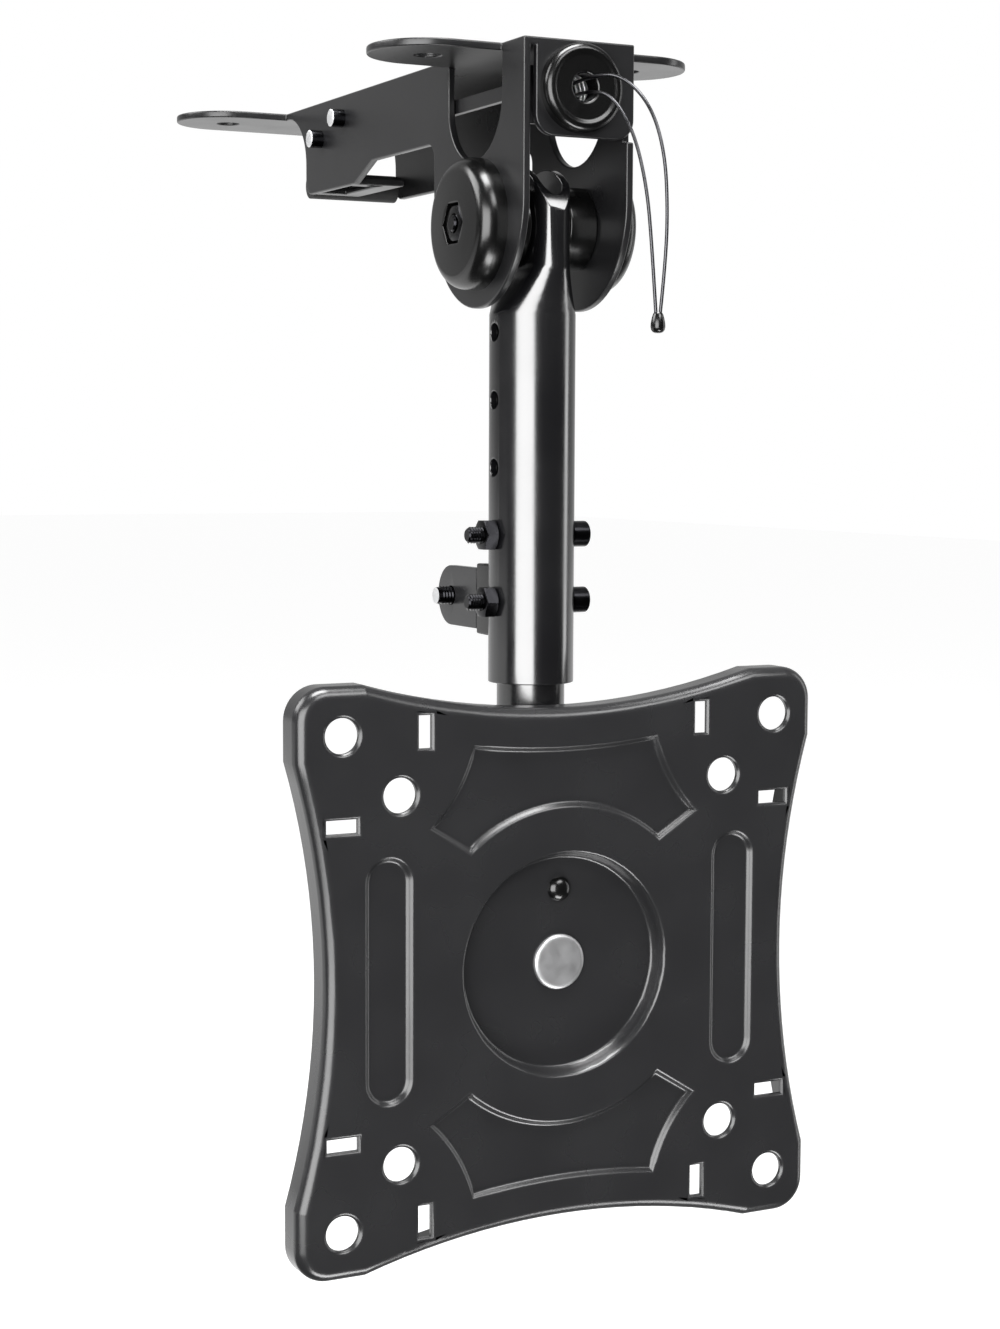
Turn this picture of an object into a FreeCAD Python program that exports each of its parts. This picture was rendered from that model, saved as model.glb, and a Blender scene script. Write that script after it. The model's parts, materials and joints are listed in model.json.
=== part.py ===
"""Flip-down screen mount that screws up under a cabinet.

Frame: X to the right, Z up, the screen plate faces -Y. The origin is the centre of the four
cabinet screws, on the top face of the ceiling bracket. Sizes are in millimetres.
"""
import FreeCAD, Part
import math
import os
import Sketcher

Vector = FreeCAD.Vector
UP = Vector(0, 0, 1)

doc = FreeCAD.newDocument("screen_mount")
dim = doc.addObject("Spreadsheet::Sheet", "dim")

# The driving dimensions, in millimetres
SIZES = {
    # The folded ceiling bracket
    "sheet": 1.6,  # bracket sheet thickness
    "channel_width": 25.0,  # bracket width over its side plates
    "screw_span_x": 46.0,  # cabinet screws, across
    "screw_span_y": 117.5,  # cabinet screws, front to back
    "screw_hole": 5.5,  # cabinet screw hole diameter
    "tab_radius": 12.5,  # rounded end of a screw tab
    "nose": 22.25,  # front screw row to the front face
    "window_depth": 22.0,  # side window, down from the top
    "arm_depth": 16.5,  # side plate depth behind the lobe
    "tail_depth": 20.7,  # side plate depth at the rear
    "arm_bend": 53.0,  # front screw row to the start of the slope in the lower edge
    "slope_run": 10.0,  # length of the slope in the lower edge
    "tail_end": 25.0,  # side plate's rear edge, ahead of the rear screw row
    "tail_notch": 12.0,  # radius of the notch under the rear tabs
    "corner": 3.0,  # rounded corners of the side plates
    "lobe_radius": 21.0,  # radius of the pivot lobe
    "lobe_drop": 31.2,  # lobe centre below the top face
    "flange_height": 19.0,  # front flange, top to bottom
    "flange_gap": 1.2,  # slit between the left side plate and the front flange
    "flange_corner": 4.0,  # rounded lower corners of the front flange
    "shelf_width": 12.6,  # bottom shelf bent in from the left side plate
    "shelf_hole": 3.6,  # hole in the bottom shelf
    "shelf_hole_in": 2.7,  # that hole from the shelf's front edge
    # The pivot
    "pivot_drop": 35.2,  # arm pivot below the top face
    "pivot_back": 20.0,  # arm pivot behind the front face
    "pivot_bolt": 4.0,  # pivot bolt diameter
    "pivot_nut": 7.0,  # pivot nut across flats
    "pivot_nut_height": 3.2,  # pivot nut height
    "cap_radius": 13.4,  # round pivot cap
    "cap_height": 6.0,  # pivot cap thickness
    "cap_round": 2.6,  # rounded rim of the pivot cap
    "cap_recess": 8.2,  # hex recess in the pivot cap, across flats
    "disc_radius": 8.5,  # friction disc beside the arm
    "gap": 0.3,  # clearance between neighbours that move
    "fit": 0.05,  # radial clearance of a pin in its hole
    # The two tubes
    "tube": 18.0,  # outer tube diameter
    "tube_wall": 1.6,  # outer tube wall
    "tube_below": 94.6,  # outer tube end below the pivot
    "head_thick": 8.0,  # flattened head of the outer tube
    "head_wide": 23.6,  # flattened head, front to back
    "head_drop": 8.5,  # flat part of the head below the pivot
    "head_taper": 9.5,  # length where the tube turns flat
    "first_hole": 21.8,  # first height hole below the pivot
    "hole_pitch": 13.95,  # pitch of the height holes
    "height_bolt": 3.5,  # height bolt diameter
    "bolt_play": 0.15,  # radial play of the height bolts in their holes
    "height_nut": 6.0,  # height nut across flats
    "height_nut_height": 2.8,  # height nut height
    "height_head": 5.5,  # height bolt head diameter
    "height_head_height": 3.8,  # height bolt head height
    "thread_end": 3.2,  # thread that stands out of a nut
    "inner": 14.3,  # inner tube diameter
    "inner_wall": 1.4,  # inner tube wall
    "height_range": 28.5,  # how far the screen slides down
    "slot_land": 3.0,  # inner tube above its slots
    # The striker on the outer tube
    "saddle_height": 15.0,  # saddle behind the tube
    "saddle_depth": 12.0,  # saddle's rear face behind the tube axis
    "saddle_width": 14.0,  # saddle width
    "saddle_clear": 1.0,  # saddle behind the height nuts
    "striker_sheet": 1.6,  # striker tab thickness
    "striker_height": 13.0,  # striker tab height
    "striker_reach": 24.7,  # striker pin behind the tube axis
    "striker_left": 7.0,  # striker tab's left face from the middle
    "striker_pin": 4.0,  # striker pin diameter
    # The latch
    "bar_thick": 1.4,  # latch bar thickness
    "bar_height": 3.0,  # latch bar height
    "latch_travel": 4.0,  # how far the latch bar slides
    "guide_pin": 3.0,  # guide pin diameter
    "guide_back": 92.3,  # guide pin behind the front face
    "guide_web": 1.35,  # web between the guide slot and the hook's throat
    "pin_head": 4.2,  # head of the guide and bumper pins
    "pin_stand": 3.0,  # how far the heads stand out on the left
    "tongue_back": 11.0,  # front tongue of the latch bar behind the front face
    "nose_depth": 3.7,  # height of the latch nose
    "heel_back": 14.0,  # front of the latch nose, ahead of the folded striker pin
    "tongue_half": 5.8,  # half height of the front tongue
    "mouth_rear": 4.0,  # shelf mouth behind the folded striker tab
    "spring_wire": 0.8,  # latch spring wire diameter
    "spring_radius": 5.1,  # latch spring, middle of the wire from its axis
    "bumper_radius": 3.2,  # rubber bumper radius
    "bumper_rise": 2.6,  # bumper axis above the side plates' rear lower corners
    "bumper_back": 0.8,  # bumper axis behind the side plates' rear edge
    # The grommet and the pull wire
    "grommet_radius": 8.8,  # grommet disc
    "grommet_height": 3.0,  # grommet disc thickness
    "grommet_round": 1.1,  # rounded rim of the grommet
    "grommet_hole": 5.5,  # hole through the grommet
    "grommet_neck": 8.0,  # neck of the grommet in the flange
    "grommet_drop": 9.5,  # grommet below the top face
    "wire": 0.7,  # pull wire diameter
    "slug_radius": 2.6,  # wire stop behind the latch tongue, radius
    "slug_length": 3.5,  # wire stop length
    "ferrule_radius": 1.45,  # ferrule at the wires' lower end, radius
    "ferrule_length": 4.0,  # ferrule length
    # The screen plate
    "plate_margin": 9.8,  # outer screws to the plate's straight edges
    "plate_sheet": 1.8,  # screen plate sheet
    "plate_skirt": 7.5,  # depth of the plate's turned edge
    "plate_drop": 187.2,  # plate centre below the top face
    "plate_front": 17.0,  # plate face ahead of the tube axis
    "plate_flat": 8.0,  # straight length at each side of a corner
    "plate_corner": 7.0,  # corner radius of the plate
    "plate_waist": 6.4,  # how far the sides curve in
    "vesa_large": 100.0,  # outer screw pattern
    "vesa_small": 75.0,  # inner screw pattern
    "vesa_hole": 7.2,  # screen screw hole diameter
    "plate_round": 2.6,  # rounded front edge of the plate
    "dish_radius": 23.5,  # round dish in the plate
    "dish_depth": 3.7,  # depth of the dish
    "dish_draft": 1.3,  # how much the dish narrows to its floor
    "panel_depth": 1.1,  # depth of the pressed panels and ribs
    "rib_out": 40.0,  # upright rib from the middle
    "rib_half": 20.2,  # half height of an upright rib, to its end centres
    "rib_radius": 4.6,  # half width of an upright rib
    "fan_inner": 33.4,  # inner radius of a fan panel
    "fan_half": 21.0,  # half length of a fan panel's outer edge
    "fan_top": 46.3,  # corners of a fan panel's outer edge, from the middle
    "fan_sag": 1.4,  # how far a fan panel's outer edge curves in
    "fan_wing": 30.4,  # widest half width of a fan panel
    "fan_foot": 22.0,  # half width of a fan panel at its foot
    "fan_waist": 1.3,  # how far a fan panel's sides curve in
    "slit_far": 50.0,  # small slits from the middle, outward
    "slit_near": 32.0,  # small slits from the middle, sideways
    "slit_long": 6.7,  # small slit length
    "slit_wide": 2.8,  # small slit width
    # The head behind the plate
    "rivet_head": 11.6,  # centre rivet head diameter
    "rivet_height": 0.9,  # centre rivet head height
    "rivet_shank": 8.0,  # centre rivet shank diameter
    "rivet_tail": 1.0,  # rivet tail height
    "rivet_lip": 1.0,  # how far the rivet tail stands over its shank
    "rivet_round": 0.3,  # rounded rim of the rivet head
    "swivel_washer": 0.5,  # plastic washer behind the dish
    "washer_clear": 0.5,  # rim of that washer inside the lock screw head
    "fork_sheet": 1.8,  # tilt fork sheet
    "fork_disc": 19.5,  # tilt fork disc radius
    "fork_cheek": 6.6,  # half height of a fork cheek
    "tilt_bolt": 5.0,  # tilt bolt diameter
    "tilt_head_height": 3.0,  # tilt bolt head height
    "tilt_thread": 1.5,  # tilt bolt thread that stands out of its nut
    "tilt_nut": 8.0,  # tilt nut across flats
    "tilt_nut_height": 4.0,  # tilt nut height
    "tilt_washer": 5.0,  # tilt washer radius
    "tilt_washer_height": 1.0,  # tilt washer thickness
    "lock_radius": 15.3,  # lock screw from the middle
    "lock_screw": 3.0,  # lock screw diameter
    "lock_head": 5.2,  # lock screw head diameter
    "lock_head_height": 1.6,  # lock screw head height
    "lock_head_round": 1.1,  # rounded rim of the lock screw head
    "lock_nut": 6.0,  # lock nut diameter
    "lock_nut_height": 1.4,  # lock nut height
}
for row, (name, length) in enumerate(SIZES.items(), start=1):
    dim.set("A%d" % row, name)
    dim.set("B%d" % row, str(length))
    dim.setAlias("B%d" % row, name)
doc.recompute()


def value(expression):
    """The number that an expression of the sheet's names gives."""
    return float(dim.evalExpression(expression))


def named(text):
    """Turn each {name} of a text into the expression that it stands for."""
    return text.format(**PLACES)


# Places worked out from the sizes: each is an expression in the sheet's names
PLACES = {
    "front": "(-dim.screw_span_y / 2 - dim.nose)",
    "rear": "(dim.screw_span_y / 2 + dim.tab_radius)",
    "half": "(dim.channel_width / 2)",
    "inside": "(dim.channel_width / 2 - dim.sheet)",
    "lane": "(dim.screw_span_y / 2)",
    "tail": "(dim.screw_span_y / 2 - dim.tail_end)",
    "pivot_z": "(-dim.pivot_drop)",
}
PLACES["pivot_y"] = named("({front} + dim.pivot_back)")
PLACES["lobe_y"] = named("({front} + dim.lobe_radius)")
PLACES["slope_y"] = named("(-{lane} + dim.arm_bend)")
PLACES["grommet_z"] = "(-dim.grommet_drop)"
PLACES["upper_bolt_z"] = named("({pivot_z} - dim.first_hole - 3 * dim.hole_pitch)")
PLACES["lower_bolt_z"] = named("({pivot_z} - dim.first_hole - 4 * dim.hole_pitch)")
PLACES["tube_end_z"] = named("({pivot_z} - dim.tube_below)")
PLACES["plate_z"] = "(-dim.plate_drop)"
PLACES["plate_y"] = named("({pivot_y} - dim.plate_front)")
PLACES["dish_back_y"] = named("({plate_y} + dim.dish_depth + dim.plate_sheet)")
PLACES["fork_y"] = named("({dish_back_y} + dim.swivel_washer)")
PLACES["fork_back_y"] = named("({fork_y} + dim.fork_sheet)")
PLACES["cheek_x"] = "(dim.inner / 2 + dim.gap)"
# Where the striker pin comes to when the arm is folded up
PLACES["catch_y"] = named("({pivot_y} + dim.first_hole + 4 * dim.hole_pitch)")
PLACES["catch_z"] = named("({pivot_z} + dim.striker_reach)")
PLACES["bar_x"] = named("(-{inside} + dim.gap)")
PLACES["tongue_y"] = named("({front} + dim.tongue_back)")
PLACES["guide_y"] = named("({front} + dim.guide_back)")
PLACES["guide_z"] = named(
    "({catch_z} + (dim.striker_pin + dim.guide_pin) / 2 + dim.gap * 1.5 + dim.guide_web)")
PLACES["plate_half"] = "(dim.vesa_large / 2 + dim.plate_margin)"
PLACES["stop_y"] = named(
    "({catch_y} + (dim.striker_pin + dim.guide_pin) / 2 + dim.latch_travel + dim.gap)")
PLACES["stop_z"] = named("({catch_z} + dim.striker_pin / 2)")


def at(name):
    """The number of one named place."""
    return value(PLACES[name])


def bind(thing, prop, text):
    """Tie a property to an expression of sizes and places."""
    thing.setExpression(prop, named(text))


def number(text):
    """The number of an expression of sizes and places."""
    return value(named(text))


def new_body(name):
    """An empty body whose label names its file."""
    made = doc.addObject("PartDesign::Body", name)
    made.Label = name
    return made


def new_sketch(body, role, offset="0", up="0"):
    """A sketch on one of the body's own planes, moved along its normal and upward."""
    made = body.newObject("Sketcher::SketchObject", "sketch")
    found = [one for one in body.Origin.OriginFeatures if one.Role == role][0]
    made.AttachmentSupport = [(found, "")]
    made.MapMode = "FlatFace"
    bind(made, ".AttachmentOffset.Base.z", offset)
    bind(made, ".AttachmentOffset.Base.y", up)
    return made


def hold(sketch, kind, geometry, point, text):
    """Dimension one coordinate of a point of the sketch."""
    made = sketch.addConstraint(Sketcher.Constraint(kind, geometry, point, number(text)))
    bind(sketch, "Constraints[%d]" % made, text)


def hold_radius(sketch, geometry, text):
    """Dimension a circle's or arc's radius."""
    made = sketch.addConstraint(Sketcher.Constraint("Radius", geometry, number(text)))
    bind(sketch, "Constraints[%d]" % made, text)


def circle(sketch, across, up, radius):
    """A circle with its centre and radius dimensioned."""
    centre = Vector(number(across), number(up), 0)
    made = sketch.addGeometry(Part.Circle(centre, UP, number(radius)))
    hold_radius(sketch, made, radius)
    hold(sketch, "DistanceX", made, 3, across)
    hold(sketch, "DistanceY", made, 3, up)


def outline(sketch, corners):
    """A closed outline of straight lines, each corner dimensioned."""
    spots = [Vector(number(across), number(up), 0) for across, up in corners]
    first = sketch.GeometryCount
    count = len(spots)
    for index in range(count):
        sketch.addGeometry(Part.LineSegment(spots[index], spots[(index + 1) % count]))
    for index in range(count):
        following = first + (index + 1) % count
        sketch.addConstraint(Sketcher.Constraint("Coincident", first + index, 2, following, 1))
    for index, (across, up) in enumerate(corners):
        hold(sketch, "DistanceX", first + index, 1, across)
        hold(sketch, "DistanceY", first + index, 1, up)


def rectangle(sketch, left, right, low, high):
    """A rectangle between four dimensioned sides."""
    outline(sketch, [(left, low), (right, low), (right, high), (left, high)])


def arc_chain(sketch, points, bulges, centres=None):
    """A closed outline: each side is a line, or an arc that stands off its chord by its bulge.

    A positive bulge lies to the right of the way from one corner to the next. Half rounds are
    held by one coordinate of their centre, named in centres, in place of their radius.
    """
    spots = [Vector(number(across), number(up), 0) for across, up in points]
    first = sketch.GeometryCount
    count = len(spots)
    for index in range(count):
        start = spots[index]
        end = spots[(index + 1) % count]
        if bulges[index] is None:
            sketch.addGeometry(Part.LineSegment(start, end))
            continue
        along = end - start
        aside = Vector(along.y, -along.x, 0).normalize()
        middle = (start + end) * 0.5 + aside * number(bulges[index])
        sketch.addGeometry(Part.Arc(start, middle, end))
    ends = []
    for index in range(count):
        clockwise = bulges[index] is not None and number(bulges[index]) < 0
        ends.append((2, 1) if clockwise else (1, 2))
    for index in range(count):
        following = (index + 1) % count
        sketch.addConstraint(Sketcher.Constraint(
            "Coincident", first + index, ends[index][1], first + following, ends[following][0]))
    for index, (across, up) in enumerate(points):
        hold(sketch, "DistanceX", first + index, ends[index][0], across)
        hold(sketch, "DistanceY", first + index, ends[index][0], up)
    for index in range(count):
        if bulges[index] is None:
            continue
        if centres:
            hold(sketch, centres[index][0], first + index, 3, centres[index][1])
            continue
        (left, low), (right, high) = points[index], points[(index + 1) % count]
        chord = "(((%s) - (%s)) ^ 2 + ((%s) - (%s)) ^ 2)" % (left, right, low, high)
        sag = "abs(%s)" % bulges[index]
        hold_radius(sketch, first + index, "%s / (8 * %s) + %s / 2" % (chord, sag, sag))


def slot(sketch, start, end, radius, upright):
    """An obround between two end centres, upright or level."""
    (left, low), (right, high) = start, end
    if upright:
        corners = [("%s - (%s)" % (left, radius), low), ("%s + %s" % (left, radius), low),
                   ("%s + %s" % (left, radius), high), ("%s - (%s)" % (left, radius), high)]
        centres = [("DistanceY", low), None, ("DistanceY", high), None]
    else:
        corners = [(right, "%s - (%s)" % (low, radius)), (right, "%s + %s" % (low, radius)),
                   (left, "%s + %s" % (low, radius)), (left, "%s - (%s)" % (low, radius))]
        centres = [("DistanceX", right), None, ("DistanceX", left), None]
    arc_chain(sketch, corners, [radius, None, radius, None], centres)


def extrude(body, kind, sketch, length, both=False, back=False):
    """Pad or pocket a sketch by a length, to one side or to both."""
    made = body.newObject("PartDesign::" + kind, kind.lower())
    made.Profile = sketch
    if length == "all":
        made.Type = "ThroughAll"
    else:
        bind(made, "Length", length)
    if both:
        made.SideType = "Symmetric"
    made.Reversed = back
    doc.recompute()
    return made


def round_edges(body, radius, wanted):
    """Fillet the edges of the body's last feature that the test picks."""
    base = body.Tip
    chosen = ["Edge%d" % (index + 1) for index, edge in enumerate(base.Shape.Edges) if wanted(edge)]
    made = body.newObject("PartDesign::Fillet", "fillet")
    made.Base = (base, chosen)
    bind(made, "Radius", radius)
    doc.recompute()
    return made


def near(first, second):
    """Whether two numbers are the same to a hundredth."""
    return abs(first - second) < 0.01


def runs_along(edge, axis):
    """Whether a straight edge runs along one axis."""
    if len(edge.Vertexes) < 2:
        return False
    reach = edge.Vertexes[1].Point - edge.Vertexes[0].Point
    return near(abs(getattr(reach, axis)), reach.Length) and near(edge.Length, reach.Length)


def ceiling_bracket():
    """One folded sheet: channel, lobes, four screw tabs, front flange and bottom shelf."""
    body = new_body("ceiling_bracket")
    sides = new_sketch(body, "YZ_Plane")
    outline(sides, [
        ("{front}", "0"), ("{front}", "-dim.lobe_drop"),
        ("{lobe_y} + dim.lobe_radius", "-dim.lobe_drop"),
        ("{lobe_y} + dim.lobe_radius", "-dim.arm_depth"),
        ("{slope_y}", "-dim.arm_depth"),
        ("{slope_y} + dim.slope_run", "-dim.tail_depth"),
        ("{tail}", "-dim.tail_depth"), ("{tail}", "-dim.sheet - dim.tail_notch"),
        ("{tail} + dim.tail_notch", "-dim.sheet - dim.tail_notch"),
        ("{tail} + dim.tail_notch", "0")])
    extrude(body, "Pad", sides, "dim.channel_width", both=True)
    inner_corner = (at("lobe_y") + value("dim.lobe_radius"), -value("dim.arm_depth"))
    rear_corner = (at("tail"), -value("dim.tail_depth"))

    def rounded(edge):
        spot = edge.Vertexes[0].Point
        return runs_along(edge, "x") and any(
            near(spot.y, corner[0]) and near(spot.z, corner[1]) for corner in (inner_corner, rear_corner))

    round_edges(body, "dim.corner", rounded)
    lobe = new_sketch(body, "YZ_Plane")
    circle(lobe, "{lobe_y}", "-dim.lobe_drop", "dim.lobe_radius")
    extrude(body, "Pad", lobe, "dim.channel_width", both=True)
    notch = new_sketch(body, "YZ_Plane")
    circle(notch, "{tail} + dim.tail_notch", "-dim.sheet - dim.tail_notch", "dim.tail_notch")
    extrude(body, "Pocket", notch, "dim.channel_width * 2", both=True)
    hollow = new_sketch(body, "YZ_Plane")
    rectangle(hollow, "{front} - 1", "{rear} + 1", "-dim.lobe_drop - dim.lobe_radius - 1", "-dim.sheet")
    extrude(body, "Pocket", hollow, "{inside} * 2", both=True)
    window = new_sketch(body, "YZ_Plane")
    slot(window, ("-{lane}", "-dim.window_depth + dim.tab_radius"), ("-{lane}", "dim.tab_radius"),
         "dim.tab_radius", upright=True)
    extrude(body, "Pocket", window, "dim.channel_width * 2", both=True)
    step = new_sketch(body, "XZ_Plane", "-({front} - 1)")
    rectangle(step, "{inside} - 0.5", "{half} + 1", "-dim.flange_height - dim.gap", "1")
    extrude(body, "Pocket", step, "dim.sheet + dim.gap + 1")
    top = new_sketch(body, "XY_Plane")
    rectangle(top, "-{half}", "{half}", "{front}", "{rear}")
    extrude(body, "Pad", top, "dim.sheet", back=True)
    for row in ("-{lane}", "{lane}"):
        tabs = new_sketch(body, "XY_Plane")
        slot(tabs, ("-dim.screw_span_x / 2", row), ("dim.screw_span_x / 2", row), "dim.tab_radius",
             upright=False)
        extrude(body, "Pad", tabs, "dim.sheet", back=True)
    screws = new_sketch(body, "XY_Plane")
    for across in ("-dim.screw_span_x / 2", "dim.screw_span_x / 2"):
        for along in ("-{lane}", "{lane}"):
            circle(screws, across, along, "dim.screw_hole / 2")
    extrude(body, "Pocket", screws, "dim.sheet * 2")
    flange = new_sketch(body, "XZ_Plane", "-{front}")
    rectangle(flange, "-{inside} + dim.flange_gap", "{half}", "-dim.flange_height", "0")
    extrude(body, "Pad", flange, "dim.sheet", back=True)
    flange_low = -value("dim.flange_height")

    def flange_corner(edge):
        spot = edge.Vertexes[0].Point
        return runs_along(edge, "y") and near(spot.z, flange_low)

    round_edges(body, "dim.flange_corner", flange_corner)
    shelf = new_sketch(body, "XY_Plane", "-dim.tail_depth")
    rectangle(shelf, "-{half}", "-{half} + dim.shelf_width", "{slope_y} + dim.slope_run",
              "{tail} - dim.corner")
    extrude(body, "Pad", shelf, "dim.sheet")
    mouth = new_sketch(body, "XY_Plane", "-dim.tail_depth - 1")
    rectangle(mouth, "-{inside}", "-dim.striker_left + dim.striker_sheet + dim.gap * 2",
              "{catch_y} - dim.striker_height / 2 - dim.gap * 2",
              "{catch_y} + dim.striker_height / 2 + dim.mouth_rear")
    extrude(body, "Pocket", mouth, "dim.sheet + 2", back=True)
    hole = new_sketch(body, "XY_Plane", "-dim.tail_depth - 1")
    circle(hole, "-{half} + dim.shelf_width / 2", "{slope_y} + dim.slope_run + dim.shelf_hole_in",
           "dim.shelf_hole / 2")
    extrude(body, "Pocket", hole, "dim.sheet + 2", back=True)
    bores = new_sketch(body, "YZ_Plane")
    circle(bores, "{pivot_y}", "{pivot_z}", "dim.pivot_bolt / 2 + dim.fit")
    extrude(body, "Pocket", bores, "dim.channel_width * 2", both=True)
    pins = new_sketch(body, "YZ_Plane", "-{half} - 1")
    circle(pins, "{guide_y}", "{guide_z}", "dim.guide_pin / 2")
    circle(pins, "{stop_y}", "{stop_z}", "dim.guide_pin / 2")
    extrude(body, "Pocket", pins, "dim.sheet + 2", back=True)
    neck = new_sketch(body, "XZ_Plane", "-{front}")
    circle(neck, "0", "{grommet_z}", "dim.grommet_neck / 2")
    extrude(body, "Pocket", neck, "dim.sheet + 1")
    return body


def turned(name, profile, place, toward):
    """A part of revolution: (radius, height) corners, its axis turned to x, -x, y, -y or z."""
    body = new_body(name)
    sketch = new_sketch(body, "XZ_Plane")
    outline(sketch, profile)
    made = body.newObject("PartDesign::Revolution", "revolution")
    made.Profile = sketch
    made.ReferenceAxis = (sketch, ["V_Axis"])
    made.Angle = 360
    turns = {"x": (Vector(0, 1, 0), 90), "-x": (Vector(0, 1, 0), -90),
             "y": (Vector(1, 0, 0), -90), "-y": (Vector(1, 0, 0), 90), "z": (Vector(0, 0, 1), 0)}
    body.Placement = FreeCAD.Placement(Vector(), FreeCAD.Rotation(*turns[toward]))
    for letter, text in zip("xyz", place):
        bind(body, ".Placement.Base." + letter, text)
    doc.recompute()
    return body


def round_rims(body, radius, rim, height):
    """Fillet the circular edges of one rim radius at one height of a turned part."""
    wide = number(rim)
    level = number(height)

    def picked(edge):
        curve = edge.Curve
        return isinstance(curve, Part.Circle) and near(curve.Radius, wide) and near(curve.Center.z, level)

    return round_edges(body, radius, picked)


def ring(name, hole, outside, height, place, toward):
    """A washer, spacer or round nut."""
    return turned(name, [(hole, "0"), (outside, "0"), (outside, height), (hole, height)], place, toward)


def rod(name, radius, length, place, toward):
    """A plain round pin."""
    return turned(name, [("0", "0"), (radius, "0"), (radius, length), ("0", length)], place, toward)


def headed(name, shank, length, head, height, place, toward):
    """A pin or screw: its head stands below its zero height, its shank above."""
    return turned(name, [("0", "-" + height), (head, "-" + height), (head, "0"), (shank, "0"),
                         (shank, length), ("0", length)], place, toward)


def hex_nut(name, flats, height, hole, place):
    """A hex nut with its axis along X, between place and place + height."""
    body = new_body(name)
    sketch = new_sketch(body, "YZ_Plane")
    hexagon(sketch, flats)
    extrude(body, "Pad", sketch, height)
    bore = new_sketch(body, "YZ_Plane")
    circle(bore, "0", "0", hole)
    extrude(body, "Pocket", bore, height + " * 2", back=True)
    for letter, text in zip("xyz", place):
        bind(body, ".Placement.Base." + letter, text)
    return body


def hexagon(sketch, flats):
    """A hexagon about the sketch's origin, two corners straight up and down."""
    corners = []
    for step in range(6):
        reach = "(%s) / sqrt(3)" % flats
        corners.append((reach + " * cos(%d)" % (60 * step + 30), reach + " * sin(%d)" % (60 * step + 30)))
    outline(sketch, corners)


def grommet():
    """Rounded plastic disc on the flange, with its neck through the flange's hole."""
    body = turned("grommet", [
        ("dim.grommet_hole / 2", "-dim.sheet"), ("dim.grommet_neck / 2 - dim.fit", "-dim.sheet"),
        ("dim.grommet_neck / 2 - dim.fit", "0"), ("dim.grommet_radius", "0"),
        ("dim.grommet_radius", "dim.grommet_height"), ("dim.grommet_hole / 2", "dim.grommet_height")],
        ("0", "{front}", "{grommet_z}"), "-y")
    round_rims(body, "dim.grommet_round", "dim.grommet_radius", "dim.grommet_height")
    return body


def pivot_cap(name, toward):
    """Round plastic cap on the lobe, with a hex recess for the bolt's head or nut."""
    side = "-{half}" if toward == "-x" else "{half}"
    body = turned(name, [
        ("dim.pivot_bolt / 2 + dim.fit", "0"), ("dim.cap_radius", "0"),
        ("dim.cap_radius", "dim.cap_height"), ("dim.pivot_bolt / 2 + dim.fit", "dim.cap_height")],
        (side, "{pivot_y}", "{pivot_z}"), toward)
    round_rims(body, "dim.cap_round", "dim.cap_radius", "dim.cap_height")
    recess = new_sketch(body, "XY_Plane", "dim.cap_height")
    hexagon(recess, "dim.cap_recess")
    extrude(body, "Pocket", recess, "dim.pivot_nut_height + dim.gap")
    return body


def pivot_set():
    """Pivot bolt and nut, the caps that they seat in and the friction discs beside the arm."""
    seat = "({half} + dim.cap_height - dim.pivot_nut_height - dim.gap)"
    bolt = headed("pivot_bolt", "dim.pivot_bolt / 2", seat + " * 2 + dim.pivot_nut_height + dim.gap * 2",
                  "dim.pivot_nut / 2", "dim.pivot_nut_height", (seat, "{pivot_y}", "{pivot_z}"), "-x")
    nut = hex_nut("pivot_nut", "dim.pivot_nut", "dim.pivot_nut_height", "dim.pivot_bolt / 2 + dim.fit",
                  ("-" + seat + " - dim.pivot_nut_height", "{pivot_y}", "{pivot_z}"))
    made = [bolt, nut, pivot_cap("pivot_cap_left", "-x"), pivot_cap("pivot_cap_right", "x")]
    height = "{inside} - dim.head_thick / 2 - dim.gap"
    for name, side, toward in (("friction_disc_left", "-{inside}", "x"),
                               ("friction_disc_right", "{inside}", "-x")):
        made.append(ring(name, "dim.pivot_bolt / 2 + dim.fit", "dim.disc_radius", height,
                         (side, "{pivot_y}", "{pivot_z}"), toward))
    return made


def section_round(sketch, radius):
    """A circle drawn as four arcs about the tube's axis, to match the flattened section."""
    centre = Vector(0, number("{pivot_y}"), 0)
    reach = number(radius)
    spots = []
    for degrees in (210, 330, 30, 150):
        turn = math.radians(degrees)
        spots.append(centre + Vector(math.cos(turn), math.sin(turn), 0) * reach)
    middles = [Vector(0, -reach, 0), Vector(reach, 0, 0), Vector(0, reach, 0), Vector(-reach, 0, 0)]
    first = sketch.GeometryCount
    for index in range(4):
        sketch.addGeometry(Part.Arc(spots[index], centre + middles[index], spots[(index + 1) % 4]))
    for index in range(4):
        following = first + (index + 1) % 4
        sketch.addConstraint(Sketcher.Constraint("Coincident", first + index, 2, following, 1))
        if index:
            sketch.addConstraint(Sketcher.Constraint("Coincident", first, 3, first + index, 3))
    hold(sketch, "DistanceX", first, 3, "0")
    hold(sketch, "DistanceY", first, 3, "{pivot_y}")
    hold_radius(sketch, first, radius)
    for index, lower in enumerate((True, True, False, False)):
        sign = "-" if lower else "+"
        hold(sketch, "DistanceY", first + index, 1, "{pivot_y} " + sign + " (" + radius + ") / 2")


def flat_section(sketch, inset):
    """The flattened head's section, inset from its outside."""
    radius = "(dim.head_thick / 2 - " + inset + ")"
    reach = "(dim.head_wide - dim.head_thick) / 2"
    slot(sketch, ("0", "{pivot_y} - " + reach), ("0", "{pivot_y} + " + reach), radius, upright=True)


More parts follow.
